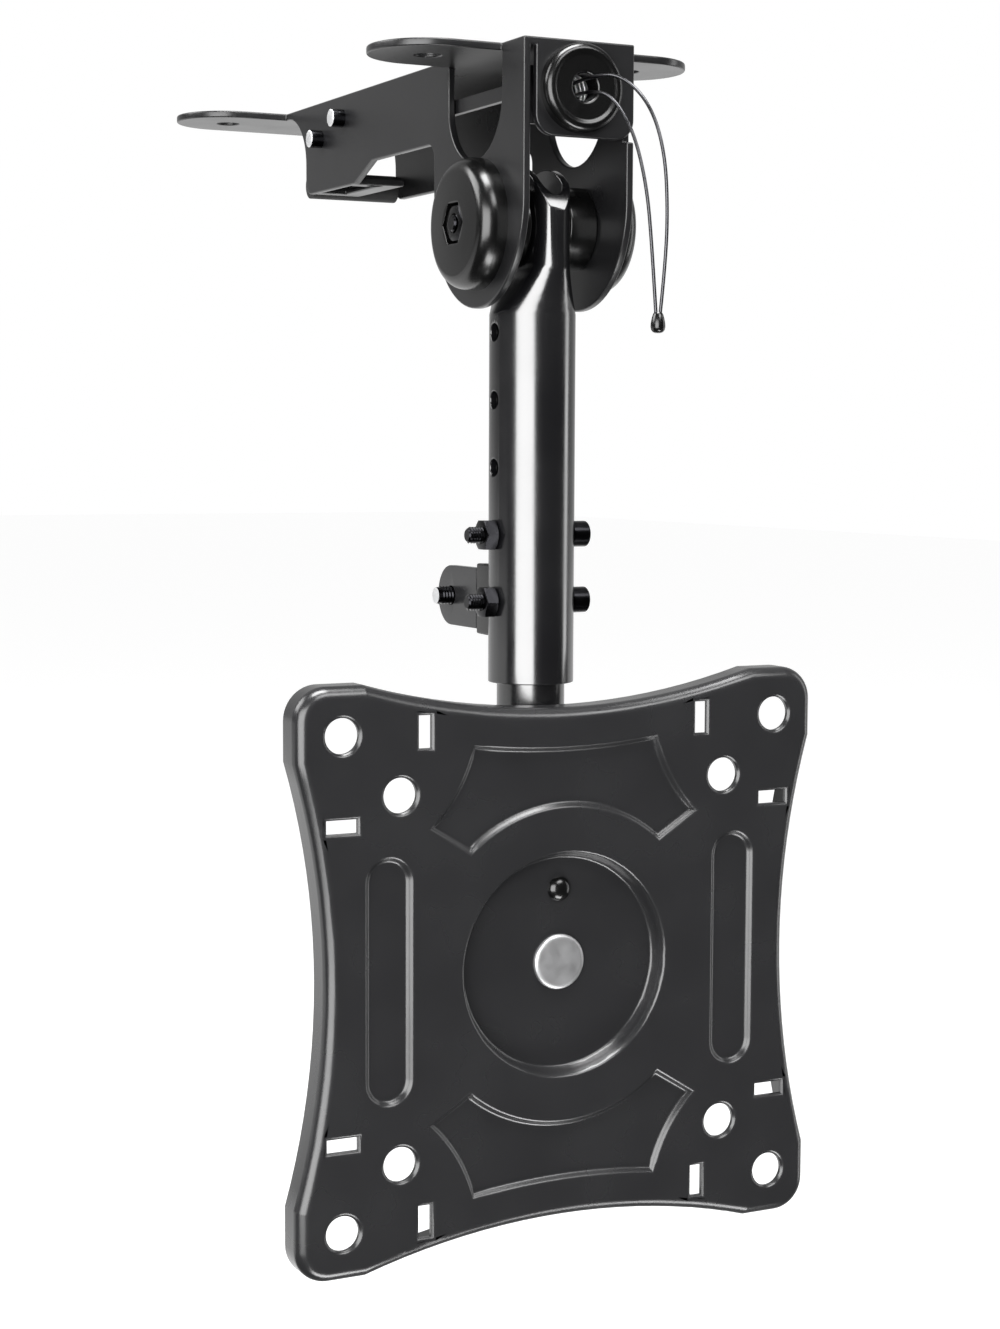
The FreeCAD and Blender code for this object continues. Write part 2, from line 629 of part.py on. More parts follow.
def swept_tube(body, inset, kinds):
    """Round run, taper and flat head of the outer tube, added or cut, inset from the outside."""
    run, taper = kinds
    low = "{tube_end_z}"
    turn = "{pivot_z} - dim.head_drop - dim.head_taper"
    flat = "{pivot_z} - dim.head_drop"
    radius = "dim.tube / 2 - " + inset
    bottom = new_sketch(body, "XY_Plane", low)
    circle(bottom, "0", "{pivot_y}", radius)
    extrude(body, run, bottom, "dim.tube_below - dim.head_drop - dim.head_taper", back=run == "Pocket")
    start = new_sketch(body, "XY_Plane", turn)
    section_round(start, radius)
    end = new_sketch(body, "XY_Plane", flat)
    flat_section(end, inset)
    doc.recompute()
    made = body.newObject("PartDesign::" + taper, "taper")
    made.Profile = start
    made.Sections = [end]
    doc.recompute()
    head = new_sketch(body, "XY_Plane", flat)
    flat_section(head, inset)
    extrude(body, run, head, "dim.head_drop + dim.head_wide / 2", back=run == "Pocket")


def outer_tube():
    """Round tube whose upper end is pressed flat, rounded over and drilled for the pivot."""
    body = new_body("tube_stock")
    swept_tube(body, "0", ("Pad", "AdditiveLoft"))
    swept_tube(body, "dim.tube_wall", ("Pocket", "SubtractiveLoft"))
    holes = new_sketch(body, "YZ_Plane")
    for step in range(5):
        circle(holes, "{pivot_y}", "{pivot_z} - dim.first_hole - %d * dim.hole_pitch" % step,
               "dim.height_bolt / 2 + dim.bolt_play")
    circle(holes, "{pivot_y}", "{pivot_z}", "dim.pivot_bolt / 2 + dim.fit")
    extrude(body, "Pocket", holes, "dim.tube * 2", both=True)
    outline_tool = rounded_end("head_outline", "dim.head_wide / 2", "{pivot_z}", "dim.tube_below + dim.tube",
                               down=True)
    made = doc.addObject("Part::Common", "outer_tube")
    made.Label = "outer_tube"
    made.Base = body
    made.Tool = outline_tool
    return made


def rounded_end(name, radius, centre, length, down):
    """A block with a half-round end about an X axis through the tube's axis, to trim a tube's end."""
    wide = radius
    cylinder = doc.addObject("Part::Cylinder", name + "_round")
    bind(cylinder, "Radius", wide)
    bind(cylinder, "Height", "dim.channel_width")
    cylinder.Placement = FreeCAD.Placement(Vector(), FreeCAD.Rotation(Vector(0, 1, 0), 90))
    bind(cylinder, ".Placement.Base.x", "-{half}")
    bind(cylinder, ".Placement.Base.y", "{pivot_y}")
    bind(cylinder, ".Placement.Base.z", centre)
    block = doc.addObject("Part::Box", name + "_block")
    bind(block, "Length", "dim.channel_width")
    bind(block, "Width", "(" + wide + ") * 2")
    bind(block, "Height", length)
    bind(block, ".Placement.Base.x", "-{half}")
    bind(block, ".Placement.Base.y", "{pivot_y} - (" + wide + ")")
    bind(block, ".Placement.Base.z", centre + (" - (" + length + ")" if down else ""))
    made = doc.addObject("Part::Fuse", name)
    made.Base = cylinder
    made.Tool = block
    return made


def inner_tube():
    """Inner tube with two long slots for the height bolts and a rounded lower end."""
    top = "({upper_bolt_z} + dim.height_range + dim.height_bolt + dim.slot_land)"
    low = "({plate_z} - dim.inner / 2)"
    body = new_body("inner_stock")
    section = new_sketch(body, "XY_Plane", low)
    circle(section, "0", "{pivot_y}", "dim.inner / 2")
    circle(section, "0", "{pivot_y}", "dim.inner / 2 - dim.inner_wall")
    extrude(body, "Pad", section, top + " - " + low)
    slots = new_sketch(body, "YZ_Plane")
    slot(slots, ("{pivot_y}", "{lower_bolt_z}"), ("{pivot_y}", "{upper_bolt_z} + dim.height_range"),
         "dim.height_bolt / 2 + dim.gap", upright=True)
    extrude(body, "Pocket", slots, "dim.tube * 2", both=True)
    bore = new_sketch(body, "YZ_Plane")
    circle(bore, "{pivot_y}", "{plate_z}", "dim.tilt_bolt / 2")
    extrude(body, "Pocket", bore, "dim.tube * 2", both=True)
    tool = rounded_end("inner_outline", "dim.inner / 2", "{plate_z}", "dim.plate_drop", down=False)
    made = doc.addObject("Part::Common", "inner_tube")
    made.Label = "inner_tube"
    made.Base = body
    made.Tool = tool
    return made


def height_bolts():
    """Two cap screws with nuts, through the outer tube and the inner tube's slots."""
    made = []
    seat = "(dim.tube / 2 + dim.fit)"
    for name, level in (("upper", "{upper_bolt_z}"), ("lower", "{lower_bolt_z}")):
        made.append(headed("height_bolt_" + name, "dim.height_bolt / 2",
                           seat + " * 2 + dim.height_nut_height + dim.thread_end", "dim.height_head / 2",
                           "dim.height_head_height", (seat, "{pivot_y}", level), "-x"))
        made.append(hex_nut("height_nut_" + name, "dim.height_nut", "dim.height_nut_height",
                            "dim.height_bolt / 2 + dim.fit",
                            ("-" + seat + " - dim.height_nut_height", "{pivot_y}", level)))
    return made


def saddle():
    """Moulded saddle that hugs the back of the outer tube."""
    body = new_body("saddle")
    plan = new_sketch(body, "XY_Plane", "{lower_bolt_z} - dim.saddle_height / 2")
    rectangle(plan, "-dim.saddle_width / 2", "dim.saddle_width / 2",
              "{pivot_y} + dim.height_nut / 2 + dim.saddle_clear", "{pivot_y} + dim.saddle_depth")
    extrude(body, "Pad", plan, "dim.saddle_height")
    seat = new_sketch(body, "XY_Plane", "{lower_bolt_z} - dim.saddle_height / 2")
    circle(seat, "0", "{pivot_y}", "dim.tube / 2 + dim.fit")
    extrude(body, "Pocket", seat, "dim.saddle_height", back=True)
    return body


def striker():
    """Folded striker bracket on the saddle, and the pin that the latch catches."""
    body = new_body("striker_bracket")
    plan = new_sketch(body, "XY_Plane", "{lower_bolt_z} - dim.striker_height / 2")
    back = "{pivot_y} + dim.saddle_depth"
    tip = "{pivot_y} + dim.striker_reach + dim.striker_height / 2"
    outline(plan, [
        ("-dim.striker_left", back), ("dim.striker_left", back),
        ("dim.striker_left", back + " + dim.striker_sheet"),
        ("-dim.striker_left + dim.striker_sheet", back + " + dim.striker_sheet"),
        ("-dim.striker_left + dim.striker_sheet", tip), ("-dim.striker_left", tip)])
    extrude(body, "Pad", plan, "dim.striker_height")
    tip_y = number(tip)
    round_edges(body, "dim.striker_height / 2 - 0.1", lambda edge: (
        runs_along(edge, "x") and near(edge.Vertexes[0].Point.y, tip_y)))
    bore = new_sketch(body, "YZ_Plane")
    circle(bore, "{pivot_y} + dim.striker_reach", "{lower_bolt_z}", "dim.striker_pin / 2 + dim.fit")
    extrude(body, "Pocket", bore, "dim.striker_left * 2 + 1", both=True)
    foot = "dim.striker_left - dim.striker_sheet"
    pin = rod("striker_pin", "dim.striker_pin / 2", "{inside} - dim.gap - (" + foot + ")",
              ("-(" + foot + ")", "{pivot_y} + dim.striker_reach", "{lower_bolt_z}"), "-x")
    return [body, pin]


def latch_bar():
    """Sliding latch bar: hook at the rear, slot for its guide pin, cross tongue at the front."""
    body = new_body("latch_bar")
    side = new_sketch(body, "YZ_Plane", "{bar_x}")
    low = "{grommet_z} - dim.bar_height / 2"
    high = "{grommet_z} + dim.bar_height / 2"
    heel = "{catch_y} - dim.heel_back"
    pin_top = "{catch_z} + dim.striker_pin / 2 + dim.gap"
    pin_low = "{catch_z} - dim.striker_pin / 2 - dim.gap"
    throat = "{catch_y} - dim.striker_pin / 2 - dim.gap - dim.latch_travel"
    roof = "-dim.sheet - dim.gap * 2"
    hook = pin_low + " - dim.nose_depth"
    outline(side, [
        ("{tongue_y}", low), (heel, low), (heel, hook),
        ("{catch_y} - dim.striker_pin / 2 - dim.gap / 2", hook),
        ("{catch_y} - dim.striker_pin / 2 - dim.gap / 2", pin_low),
        (throat, pin_low), (throat, pin_top), ("{catch_y} + dim.striker_pin / 2", pin_top),
        ("{catch_y} + dim.striker_pin / 2", roof), (heel, roof), (heel, high), ("{tongue_y}", high)])
    extrude(body, "Pad", side, "dim.bar_thick")
    tongue = new_sketch(body, "XZ_Plane", "-{tongue_y}")
    rectangle(tongue, "{bar_x}", "{inside} - dim.gap", "{grommet_z} - dim.tongue_half",
              "{grommet_z} + dim.tongue_half")
    extrude(body, "Pad", tongue, "dim.bar_thick", back=True)
    guide = new_sketch(body, "YZ_Plane", "{bar_x} - 1")
    slot(guide, ("{guide_y} - dim.latch_travel", "{guide_z}"), ("{guide_y}", "{guide_z}"),
         "dim.guide_pin / 2 + dim.gap / 2", upright=False)
    extrude(body, "Pocket", guide, "dim.bar_thick + 2", back=True)
    hole = new_sketch(body, "XZ_Plane", "-{tongue_y}")
    circle(hole, "0", "{grommet_z}", "dim.wire * 2.4")
    extrude(body, "Pocket", hole, "dim.bar_thick * 4", both=True)
    return body


def latch_pins():
    """Guide pin and stop pin of the latch bar, headed on the outside of the left side plate."""
    made = []
    length = "dim.sheet + dim.gap + dim.bar_thick"
    for name, along, level in (("guide_pin", "{guide_y}", "{guide_z}"),
                               ("stop_pin", "{stop_y}", "{stop_z}")):
        made.append(headed(name, "dim.guide_pin / 2 - dim.fit", length, "dim.pin_head / 2", "dim.pin_stand",
                           ("-{half}", along, level), "x"))
    return made


def rear_bumper():
    """Rubber bar across the rear lower corners of the side plates."""
    return rod("rear_bumper", "dim.bumper_radius", "{inside} * 2",
               ("-{inside}", "{tail} + dim.bumper_back", "-dim.tail_depth + dim.bumper_rise"), "x")


def latch_spring():
    """Compression spring between the front flange and the latch bar's tongue."""
    wire = value("dim.spring_wire")
    mean = value("dim.spring_radius")
    length = number("dim.tongue_back - dim.sheet - dim.gap - dim.spring_wire")
    turns = 5
    helix = Part.makeLongHelix(length / turns, length, mean)
    section = Part.Wire(Part.makeCircle(wire / 2, Vector(mean, 0, 0), Vector(0, 1, 0)))
    shape = Part.Wire(helix).makePipeShell([section], True, True)
    made = doc.addObject("Part::Feature", "latch_spring")
    made.Label = "latch_spring"
    made.Shape = shape
    place = Vector(0, number("{front} + dim.sheet") + wire / 2, at("grommet_z"))
    made.Placement = FreeCAD.Placement(place, FreeCAD.Rotation(Vector(1, 0, 0), -90))
    return made


def bent_tube(name, route, radius):
    """A round wire along straight runs joined by tangent arcs; prints its radii and its volume."""
    spots = [Vector(*spot) for spot in route]
    edges = []
    start = spots[0]
    radii = []
    for index in range(1, len(spots) - 1):
        back = spots[index - 1] - spots[index]
        ahead = spots[index + 1] - spots[index]
        run = min(back.Length, ahead.Length)
        turn = (back * -1).getAngle(ahead)
        cut = 0.45 * run
        bend = cut / math.tan(turn / 2)
        radii.append(round(bend, 1))
        first = spots[index] + back.normalize() * cut
        last = spots[index] + ahead.normalize() * cut
        inward = (back + ahead).normalize()
        reach = (bend * bend + cut * cut) ** 0.5 - bend
        edges.append(Part.LineSegment(start, first).toShape())
        edges.append(Part.Arc(first, spots[index] + inward * reach, last).toShape())
        start = last
    edges.append(Part.LineSegment(start, spots[-1]).toShape())
    length = sum(edge.Length for edge in edges)
    path = Part.Wire(edges)
    section = Part.Wire(Part.makeCircle(radius, spots[0], spots[1] - spots[0]))
    shape = path.makePipeShell([section], True, False)
    made = doc.addObject("Part::Feature", name)
    made.Label = name
    made.Shape = shape
    print(name, "radii", radii, "length", round(length, 1), "volume share",
          round(shape.Volume / (length * math.pi * radius * radius), 4))
    return made


def pull_wire():
    """Two strands from the stop slug behind the tongue, out through the grommet, to a ferrule."""
    start = number("{tongue_y} + dim.bar_thick")
    level = at("grommet_z")
    radius = value("dim.wire / 2")
    end = Vector(6.2, -102.2, -54.5)
    upper = [(0, start, level + 1.1), (0.1, -77, level + 1.3), (0.4, -85.5, level + 1.9),
             (2.2, -94, level + 1.2), (5.0, -100.5, -14.5), (6.6, -103.6, -24), (7.0, -104.2, -36),
             (6.9, -103.4, -46.5), (end.x + 0.5, end.y, end.z)]
    lower = [(0, start, level - 1.1), (0.1, -77, level - 1.0), (0.3, -84.5, level - 0.9),
             (1.6, -91, level - 2.2), (3.7, -96.2, -19), (4.9, -99.6, -30), (5.3, -101.2, -42),
             (end.x - 0.5, end.y, end.z)]
    slug = rod("wire_stop", "dim.slug_radius", "dim.slug_length",
               ("0", "{tongue_y} + dim.bar_thick", "{grommet_z}"), "y")
    made = [slug, bent_tube("wire_upper", upper, radius), bent_tube("wire_lower", lower, radius)]
    wide = "dim.ferrule_radius"
    made.append(turned("wire_ferrule", [
        ("0", "0"), (wide + " - 0.2", "0"), (wide, "-dim.ferrule_length / 3"),
        (wide, "-dim.ferrule_length * 3 / 4"), (wide + " - 0.35", "-dim.ferrule_length"),
        ("0", "-dim.ferrule_length")], [str(part) for part in end], "z"))
    return made


def plate_outline(sketch, inset):
    """The plate's outline: round corners, short flats beside them and sides that curve in."""
    half = "({plate_half} - " + inset + ")"
    turn = "({plate_half} - dim.plate_corner)"
    kink = "({plate_half} - dim.plate_corner - dim.plate_flat)"
    radius = "(dim.plate_corner - " + inset + ")"
    corner_bulge = radius + " * (1 - sqrt(2) / 2)"
    waist = "-dim.plate_waist"
    points = []
    bulges = []
    for across, up in (("", "-"), ("", ""), ("-", ""), ("-", "-")):
        level = [(across + half, up + turn), (across + half, up + kink)]
        upright = [(across + turn, up + half), (across + kink, up + half)]
        if across == up:
            points += [level[1], level[0], upright[0], upright[1]]
        else:
            points += [upright[1], upright[0], level[0], level[1]]
        bulges += [None, corner_bulge, None, waist]
    arc_chain(sketch, points, bulges)


def fan_panel(sketch, side):
    """One fan-shaped panel above (side "") or below (side "-") the dish."""
    foot_up = "sqrt(dim.fan_inner ^ 2 - dim.fan_foot ^ 2)"
    inner = "dim.fan_inner - " + foot_up
    points = [("-dim.fan_foot", side + foot_up), ("dim.fan_foot", side + foot_up),
              ("dim.fan_wing", side + "(dim.fan_wing)"), ("dim.fan_half", side + "dim.fan_top"),
              ("-dim.fan_half", side + "dim.fan_top"), ("-dim.fan_wing", side + "(dim.fan_wing)")]
    bulges = ["-(" + inner + ")", None, "-dim.fan_waist", "-dim.fan_sag", "-dim.fan_waist", None]
    if side == "-":
        points = points[::-1]
        bulges = bulges[-2::-1] + bulges[-1:]
    arc_chain(sketch, points, bulges)


def screen_plate():
    """Stamped plate: turned edge, dish, ribs, fan panels, screw holes and slits."""
    body = new_body("screen_plate")
    front = "-{plate_y}"
    face = new_sketch(body, "XZ_Plane", front)
    plate_outline(face, "0")
    extrude(body, "Pad", face, "dim.plate_skirt", back=True)
    front_y = at("plate_y")
    round_edges(body, "dim.plate_round", lambda edge: all(
        near(corner.Point.y, front_y) for corner in edge.Vertexes))
    back = "-{plate_y} - dim.plate_sheet"
    hollow = new_sketch(body, "XZ_Plane", back)
    plate_outline(hollow, "dim.plate_sheet")
    extrude(body, "Pocket", hollow, "dim.plate_skirt", back=False)
    for across in ("-dim.rib_out", "dim.rib_out"):
        press(body, lambda sketch, side=across: slot(
            sketch, (side, "-dim.rib_half"), (side, "dim.rib_half"), "dim.rib_radius", upright=True))
    for side in ("", "-"):
        press(body, lambda sketch, side=side: fan_panel(sketch, side))
    bowl = new_sketch(body, "YZ_Plane")
    narrow = "dim.dish_radius - dim.dish_draft"
    outline(bowl, [("{plate_y} + dim.plate_sheet / 2", "0"),
                   ("{plate_y} + dim.plate_sheet / 2", "dim.dish_radius + dim.plate_sheet"),
                   ("{plate_y} + dim.plate_sheet", "dim.dish_radius + dim.plate_sheet"),
                   ("{dish_back_y}", narrow + " + dim.plate_sheet"), ("{dish_back_y}", "0")])
    spin(body, "Revolution", bowl)
    dish = new_sketch(body, "YZ_Plane")
    outline(dish, [("{plate_y} - 1", "0"), ("{plate_y} - 1", "dim.dish_radius"),
                   ("{plate_y}", "dim.dish_radius"), ("{plate_y} + dim.dish_depth", narrow),
                   ("{plate_y} + dim.dish_depth", "0")])
    spin(body, "Groove", dish)
    holes = new_sketch(body, "XZ_Plane", front)
    for across in ("-", ""):
        for up in ("-", ""):
            for pattern in ("dim.vesa_large / 2", "dim.vesa_small / 2"):
                circle(holes, across + pattern, up + pattern, "dim.vesa_hole / 2")
            far, close = "dim.slit_far", "dim.slit_near"
            centres = (across + close, up + far), (across + far, up + close)
            halves = ("dim.slit_wide / 2", "dim.slit_long / 2"), ("dim.slit_long / 2", "dim.slit_wide / 2")
            for (x, z), (wide, high) in zip(centres, halves):
                rectangle(holes, "%s - %s" % (x, wide), "%s + %s" % (x, wide),
                          "%s - %s" % (z, high), "%s + %s" % (z, high))
    circle(holes, "0", "0", "dim.rivet_shank / 2 + dim.fit")
    circle(holes, "0", "dim.lock_radius", "dim.lock_screw / 2 + dim.fit")
    extrude(body, "Pocket", holes, "dim.plate_skirt + dim.dish_depth")
    bind(body, ".Placement.Base.z", "{plate_z}")
    return body


def press(body, draw):
    """A panel pressed into the sheet: sunk in front, standing out behind."""
    behind = new_sketch(body, "XZ_Plane", "-{plate_y} - dim.plate_sheet / 2")
    draw(behind)
    extrude(body, "Pad", behind, "dim.plate_sheet / 2 + dim.panel_depth", back=True)
    before = new_sketch(body, "XZ_Plane", "-{plate_y}")
    draw(before)
    extrude(body, "Pocket", before, "dim.panel_depth")


def spin(body, kind, sketch):
    """Revolve a sketch about its own level axis, to add or to cut."""
    made = body.newObject("PartDesign::" + kind, kind.lower())
    made.Profile = sketch
    made.ReferenceAxis = (sketch, ["H_Axis"])
    made.Angle = 360
    doc.recompute()
    return made


def tilt_fork():
    """Disc behind the dish with a half-round slot for the lock screw, and two cheeks on the tube."""
    body = new_body("tilt_fork")
    disc = new_sketch(body, "XZ_Plane", "-{fork_y}", "{plate_z}")
    circle(disc, "0", "0", "dim.fork_disc")
    circle(disc, "0", "0", "dim.rivet_shank / 2 + dim.fit")
    extrude(body, "Pad", disc, "dim.fork_sheet", back=True)
    for side in ("-", ""):
        start = "-({cheek_x} + dim.fork_sheet)" if side else "{cheek_x}"
        cheek = new_sketch(body, "YZ_Plane", start, "{plate_z}")
        rectangle(cheek, "{fork_y} + dim.fork_sheet / 2", "{pivot_y}", "-dim.fork_cheek", "dim.fork_cheek")
        extrude(body, "Pad", cheek, "dim.fork_sheet")
        end = new_sketch(body, "YZ_Plane", start, "{plate_z}")
        circle(end, "{pivot_y}", "0", "dim.fork_cheek")
        extrude(body, "Pad", end, "dim.fork_sheet")
    bore = new_sketch(body, "YZ_Plane", "0", "{plate_z}")
    circle(bore, "{pivot_y}", "0", "dim.tilt_bolt / 2")
    extrude(body, "Pocket", bore, "dim.tube * 2", both=True)
    track = new_sketch(body, "XZ_Plane", "-{fork_y} + 1", "{plate_z}")
    wide = "(dim.lock_screw / 2 + dim.gap)"
    outer = "(dim.lock_radius + " + wide + ")"
    inner = "(dim.lock_radius - " + wide + ")"
    arc_chain(track, [(outer, "0"), ("-" + outer, "0"), ("-" + inner, "0"), (inner, "0")],
              [outer, wide, "-" + inner, wide], [("DistanceY", "0")] * 4)
    extrude(body, "Pocket", track, "dim.fork_sheet + 2")
    return body


def swivel_set():
    """Centre rivet, washer, lock screw and its thin nut: they turn with the plate."""
    shank = "dim.plate_sheet + dim.swivel_washer + dim.fork_sheet"
    floor = "{plate_y} + dim.dish_depth"
    rivet = turned("centre_rivet", [
        ("0", "-dim.rivet_height"), ("dim.rivet_head / 2", "-dim.rivet_height"), ("dim.rivet_head / 2", "0"),
        ("dim.rivet_shank / 2", "0"), ("dim.rivet_shank / 2", shank),
        ("dim.rivet_shank / 2 + dim.rivet_lip", shank),
        ("dim.rivet_shank / 2 + dim.rivet_lip", shank + " + dim.rivet_tail"),
        ("0", shank + " + dim.rivet_tail")],
        ("0", floor, "{plate_z}"), "y")
    round_rims(rivet, "dim.rivet_round", "dim.rivet_head / 2", "-dim.rivet_height")
    washer = ring("swivel_washer", "dim.rivet_shank / 2 + dim.fit",
                  "dim.lock_radius - dim.lock_head / 2 - dim.washer_clear",
                  "dim.swivel_washer", ("0", "{dish_back_y}", "{plate_z}"), "y")
    screw = headed("lock_screw", "dim.lock_screw / 2", shank + " + dim.lock_nut_height + dim.fit",
                   "dim.lock_head / 2", "dim.lock_head_height",
                   ("0", floor, "{plate_z} + dim.lock_radius"), "y")
    round_rims(screw, "dim.lock_head_round", "dim.lock_head / 2", "-dim.lock_head_height")
    nut = ring("lock_nut", "dim.lock_screw / 2 + dim.fit", "dim.lock_nut / 2", "dim.lock_nut_height",
               ("0", "{fork_back_y} + dim.fit", "{plate_z} + dim.lock_radius"), "y")
    return [rivet, washer, screw, nut]


def tilt_set():
    """Tilt bolt, its nut and washers, through the fork's cheeks and the inner tube."""
    face = "({cheek_x} + dim.fork_sheet)"
    seat = "(" + face + " + dim.tilt_washer_height)"
    made = [headed("tilt_bolt", "dim.tilt_bolt / 2 - dim.fit",
                   seat + " * 2 + dim.tilt_nut_height + dim.tilt_thread",
                   "dim.tilt_nut / 2", "dim.tilt_head_height", (seat, "{pivot_y}", "{plate_z}"), "-x"),
            hex_nut("tilt_nut", "dim.tilt_nut", "dim.tilt_nut_height", "dim.tilt_bolt / 2",
                    ("-" + seat + " - dim.tilt_nut_height", "{pivot_y}", "{plate_z}"))]
    for name, side, toward in (("left", "-" + face, "-x"), ("right", face, "x")):
        made.append(ring("tilt_washer_" + name, "dim.tilt_bolt / 2", "dim.tilt_washer",
                         "dim.tilt_washer_height", (side, "{pivot_y}", "{plate_z}"), toward))
    return made


pieces = [ceiling_bracket(), grommet()] + pivot_set() + [outer_tube()] + height_bolts()
pieces += [saddle()] + striker() + [latch_bar()] + latch_pins() + [rear_bumper(), latch_spring()]
pieces += pull_wire() + [inner_tube()] + tilt_set() + [tilt_fork(), screen_plate()] + swivel_set()
doc.recompute()

failed = [thing for thing in doc.Objects if "Invalid" in thing.State or "Error" in thing.State]
for thing in failed:
    print("failed", thing.Name, thing.State, [user.Label for user in thing.InList])
if failed:
    raise SystemExit("the model has failed objects")
os.makedirs("parts", exist_ok=True)
for piece in pieces:
    shape = piece.Shape
    if shape.isNull() or not shape.isValid() or len(shape.Solids) != 1:
        raise SystemExit("not one valid solid: " + piece.Label)
for piece in pieces:
    piece.Shape.exportStep("parts/" + piece.Label + ".step")
    box = piece.Shape.BoundBox
    print("%-20s %9.1f mm3  %6.1f %6.1f %6.1f  %6.1f %6.1f %6.1f" % (
        piece.Label, piece.Shape.Volume, box.XMin, box.YMin, box.ZMin, box.XMax, box.YMax, box.ZMax))
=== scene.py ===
# %% [markdown]
# # A flip-down screen mount, dressed for its portrait
#
# The mount screws up under a kitchen cabinet. A folded steel channel carries an arm of two
# tubes, and a stamped steel plate on the arm's lower end holds the screen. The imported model
# gives every solid at its true size. This lesson loads it, rounds the edges that a press and
# an oven leave soft, makes the small turned parts again with more care, and finishes each
# surface as the factory does. It starts with the modules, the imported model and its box.

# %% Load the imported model
import json
import math

import bmesh
import bpy
from mathutils import Matrix, Vector

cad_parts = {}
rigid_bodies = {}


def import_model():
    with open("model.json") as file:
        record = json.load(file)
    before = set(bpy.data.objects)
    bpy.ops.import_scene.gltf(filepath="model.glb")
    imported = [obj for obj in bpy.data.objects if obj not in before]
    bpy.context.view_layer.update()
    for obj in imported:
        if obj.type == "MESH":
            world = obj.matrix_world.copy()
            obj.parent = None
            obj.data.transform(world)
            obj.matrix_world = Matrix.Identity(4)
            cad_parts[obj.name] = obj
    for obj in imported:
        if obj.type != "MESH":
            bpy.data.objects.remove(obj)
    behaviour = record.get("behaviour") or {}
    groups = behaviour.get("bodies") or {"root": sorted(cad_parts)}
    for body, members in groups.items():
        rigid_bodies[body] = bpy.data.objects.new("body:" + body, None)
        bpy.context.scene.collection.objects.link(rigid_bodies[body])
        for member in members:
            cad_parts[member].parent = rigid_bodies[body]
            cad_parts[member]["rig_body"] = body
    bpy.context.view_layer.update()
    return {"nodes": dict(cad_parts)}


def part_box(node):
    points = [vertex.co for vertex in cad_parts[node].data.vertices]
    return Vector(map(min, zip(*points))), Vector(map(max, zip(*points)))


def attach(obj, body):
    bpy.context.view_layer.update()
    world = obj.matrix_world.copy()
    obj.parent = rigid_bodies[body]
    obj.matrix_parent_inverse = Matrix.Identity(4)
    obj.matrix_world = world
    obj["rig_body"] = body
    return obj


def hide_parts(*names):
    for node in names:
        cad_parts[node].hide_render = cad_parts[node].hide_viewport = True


MM = 0.001
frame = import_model()
nodes = frame["nodes"]
scene = bpy.context.scene

# %% [markdown]
# ## The camera
#
# A product photographer stands a little to the left of the mount, level with the middle of
# the arm. The camera was placed from the eight screw holes of the plate and from the ends of
# the bolts: its turn, height and roll are three angles, and its distance is kept in the
# camera's own directions from the middle of the plate.

# %% Place the camera
IMAGE_HEIGHT = 1329
FOCAL_PIXELS = 2400
azimuth, elevation, roll = (math.radians(angle) for angle in (-26.5, 5.15, -0.24))
plate_low, plate_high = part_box("screen_plate")
plate_middle = Vector((0, plate_low.y, (plate_low.z + plate_high.z) / 2))
back = Vector((math.sin(azimuth) * math.cos(elevation), -math.cos(azimuth) * math.cos(elevation),
               math.sin(elevation)))
level = (-back).cross(Vector((0, 0, 1))).normalized()
upright = level.cross(-back)
right = level * math.cos(roll) - upright * math.sin(roll)
top = level * math.sin(roll) + upright * math.cos(roll)
camera_data = bpy.data.cameras.new("portrait camera")
camera_data.sensor_width = 36
camera_data.lens = FOCAL_PIXELS * camera_data.sensor_width / IMAGE_HEIGHT
camera = bpy.data.objects.new("portrait camera", camera_data)
camera.matrix_world = Matrix((right, top, back)).transposed().to_4x4()
camera.location = plate_middle - (right * 13.78 + top * -62.09 - back * 496.4) * MM
scene.collection.objects.link(camera)
scene.camera = camera
print("lens:", round(camera_data.lens, 1), "mm, camera at", [round(v, 3) for v in camera.location])

# %% [markdown]
# ## Small helpers for nodes and colours
#
# Paint makers give colours as sRGB hex values, and shaders want linear light. One function
# converts them. Another adds any shader node, sets its values by name and links its inputs,
# so that a material reads from top to bottom like a recipe.


# %% Convert colours and add nodes
def linear(hex_colour):
    """Turn an sRGB hex colour into linear red, green, blue and alpha."""
    shares = [int(hex_colour[place:place + 2], 16) / 255 for place in (1, 3, 5)]
    return [share / 12.92 if share <= 0.04045 else ((share + 0.055) / 1.055) ** 2.4 for share in shares] + [1]


def add_node(tree, kind, settings=None, links=None):
    """Add one node, set its sockets or properties by name and link its inputs."""
    made = tree.nodes.new(kind)
    for name, setting in (settings or {}).items():
        if isinstance(name, int) or name in made.inputs:
            made.inputs[name].default_value = setting
        else:
            setattr(made, name, setting)
    for name, source in (links or {}).items():
        tree.links.new(source, made.inputs[name])
    return made


def start_material(name):
    """An empty material, and its coordinates in metres on the object."""
    made = bpy.data.materials.new(name)
    made.use_nodes = True
    tree = made.node_tree
    tree.nodes.clear()
    place = add_node(tree, "ShaderNodeTexCoord")
    return made, tree, place.outputs["Object"]


def end_material(made, tree, settings, links):
    """Join a Principled shader with the given sockets to the material's output."""
    shader = add_node(tree, "ShaderNodeBsdfPrincipled", settings, links)
    add_node(tree, "ShaderNodeOutputMaterial", links={"Surface": shader.outputs["BSDF"]})
    return made


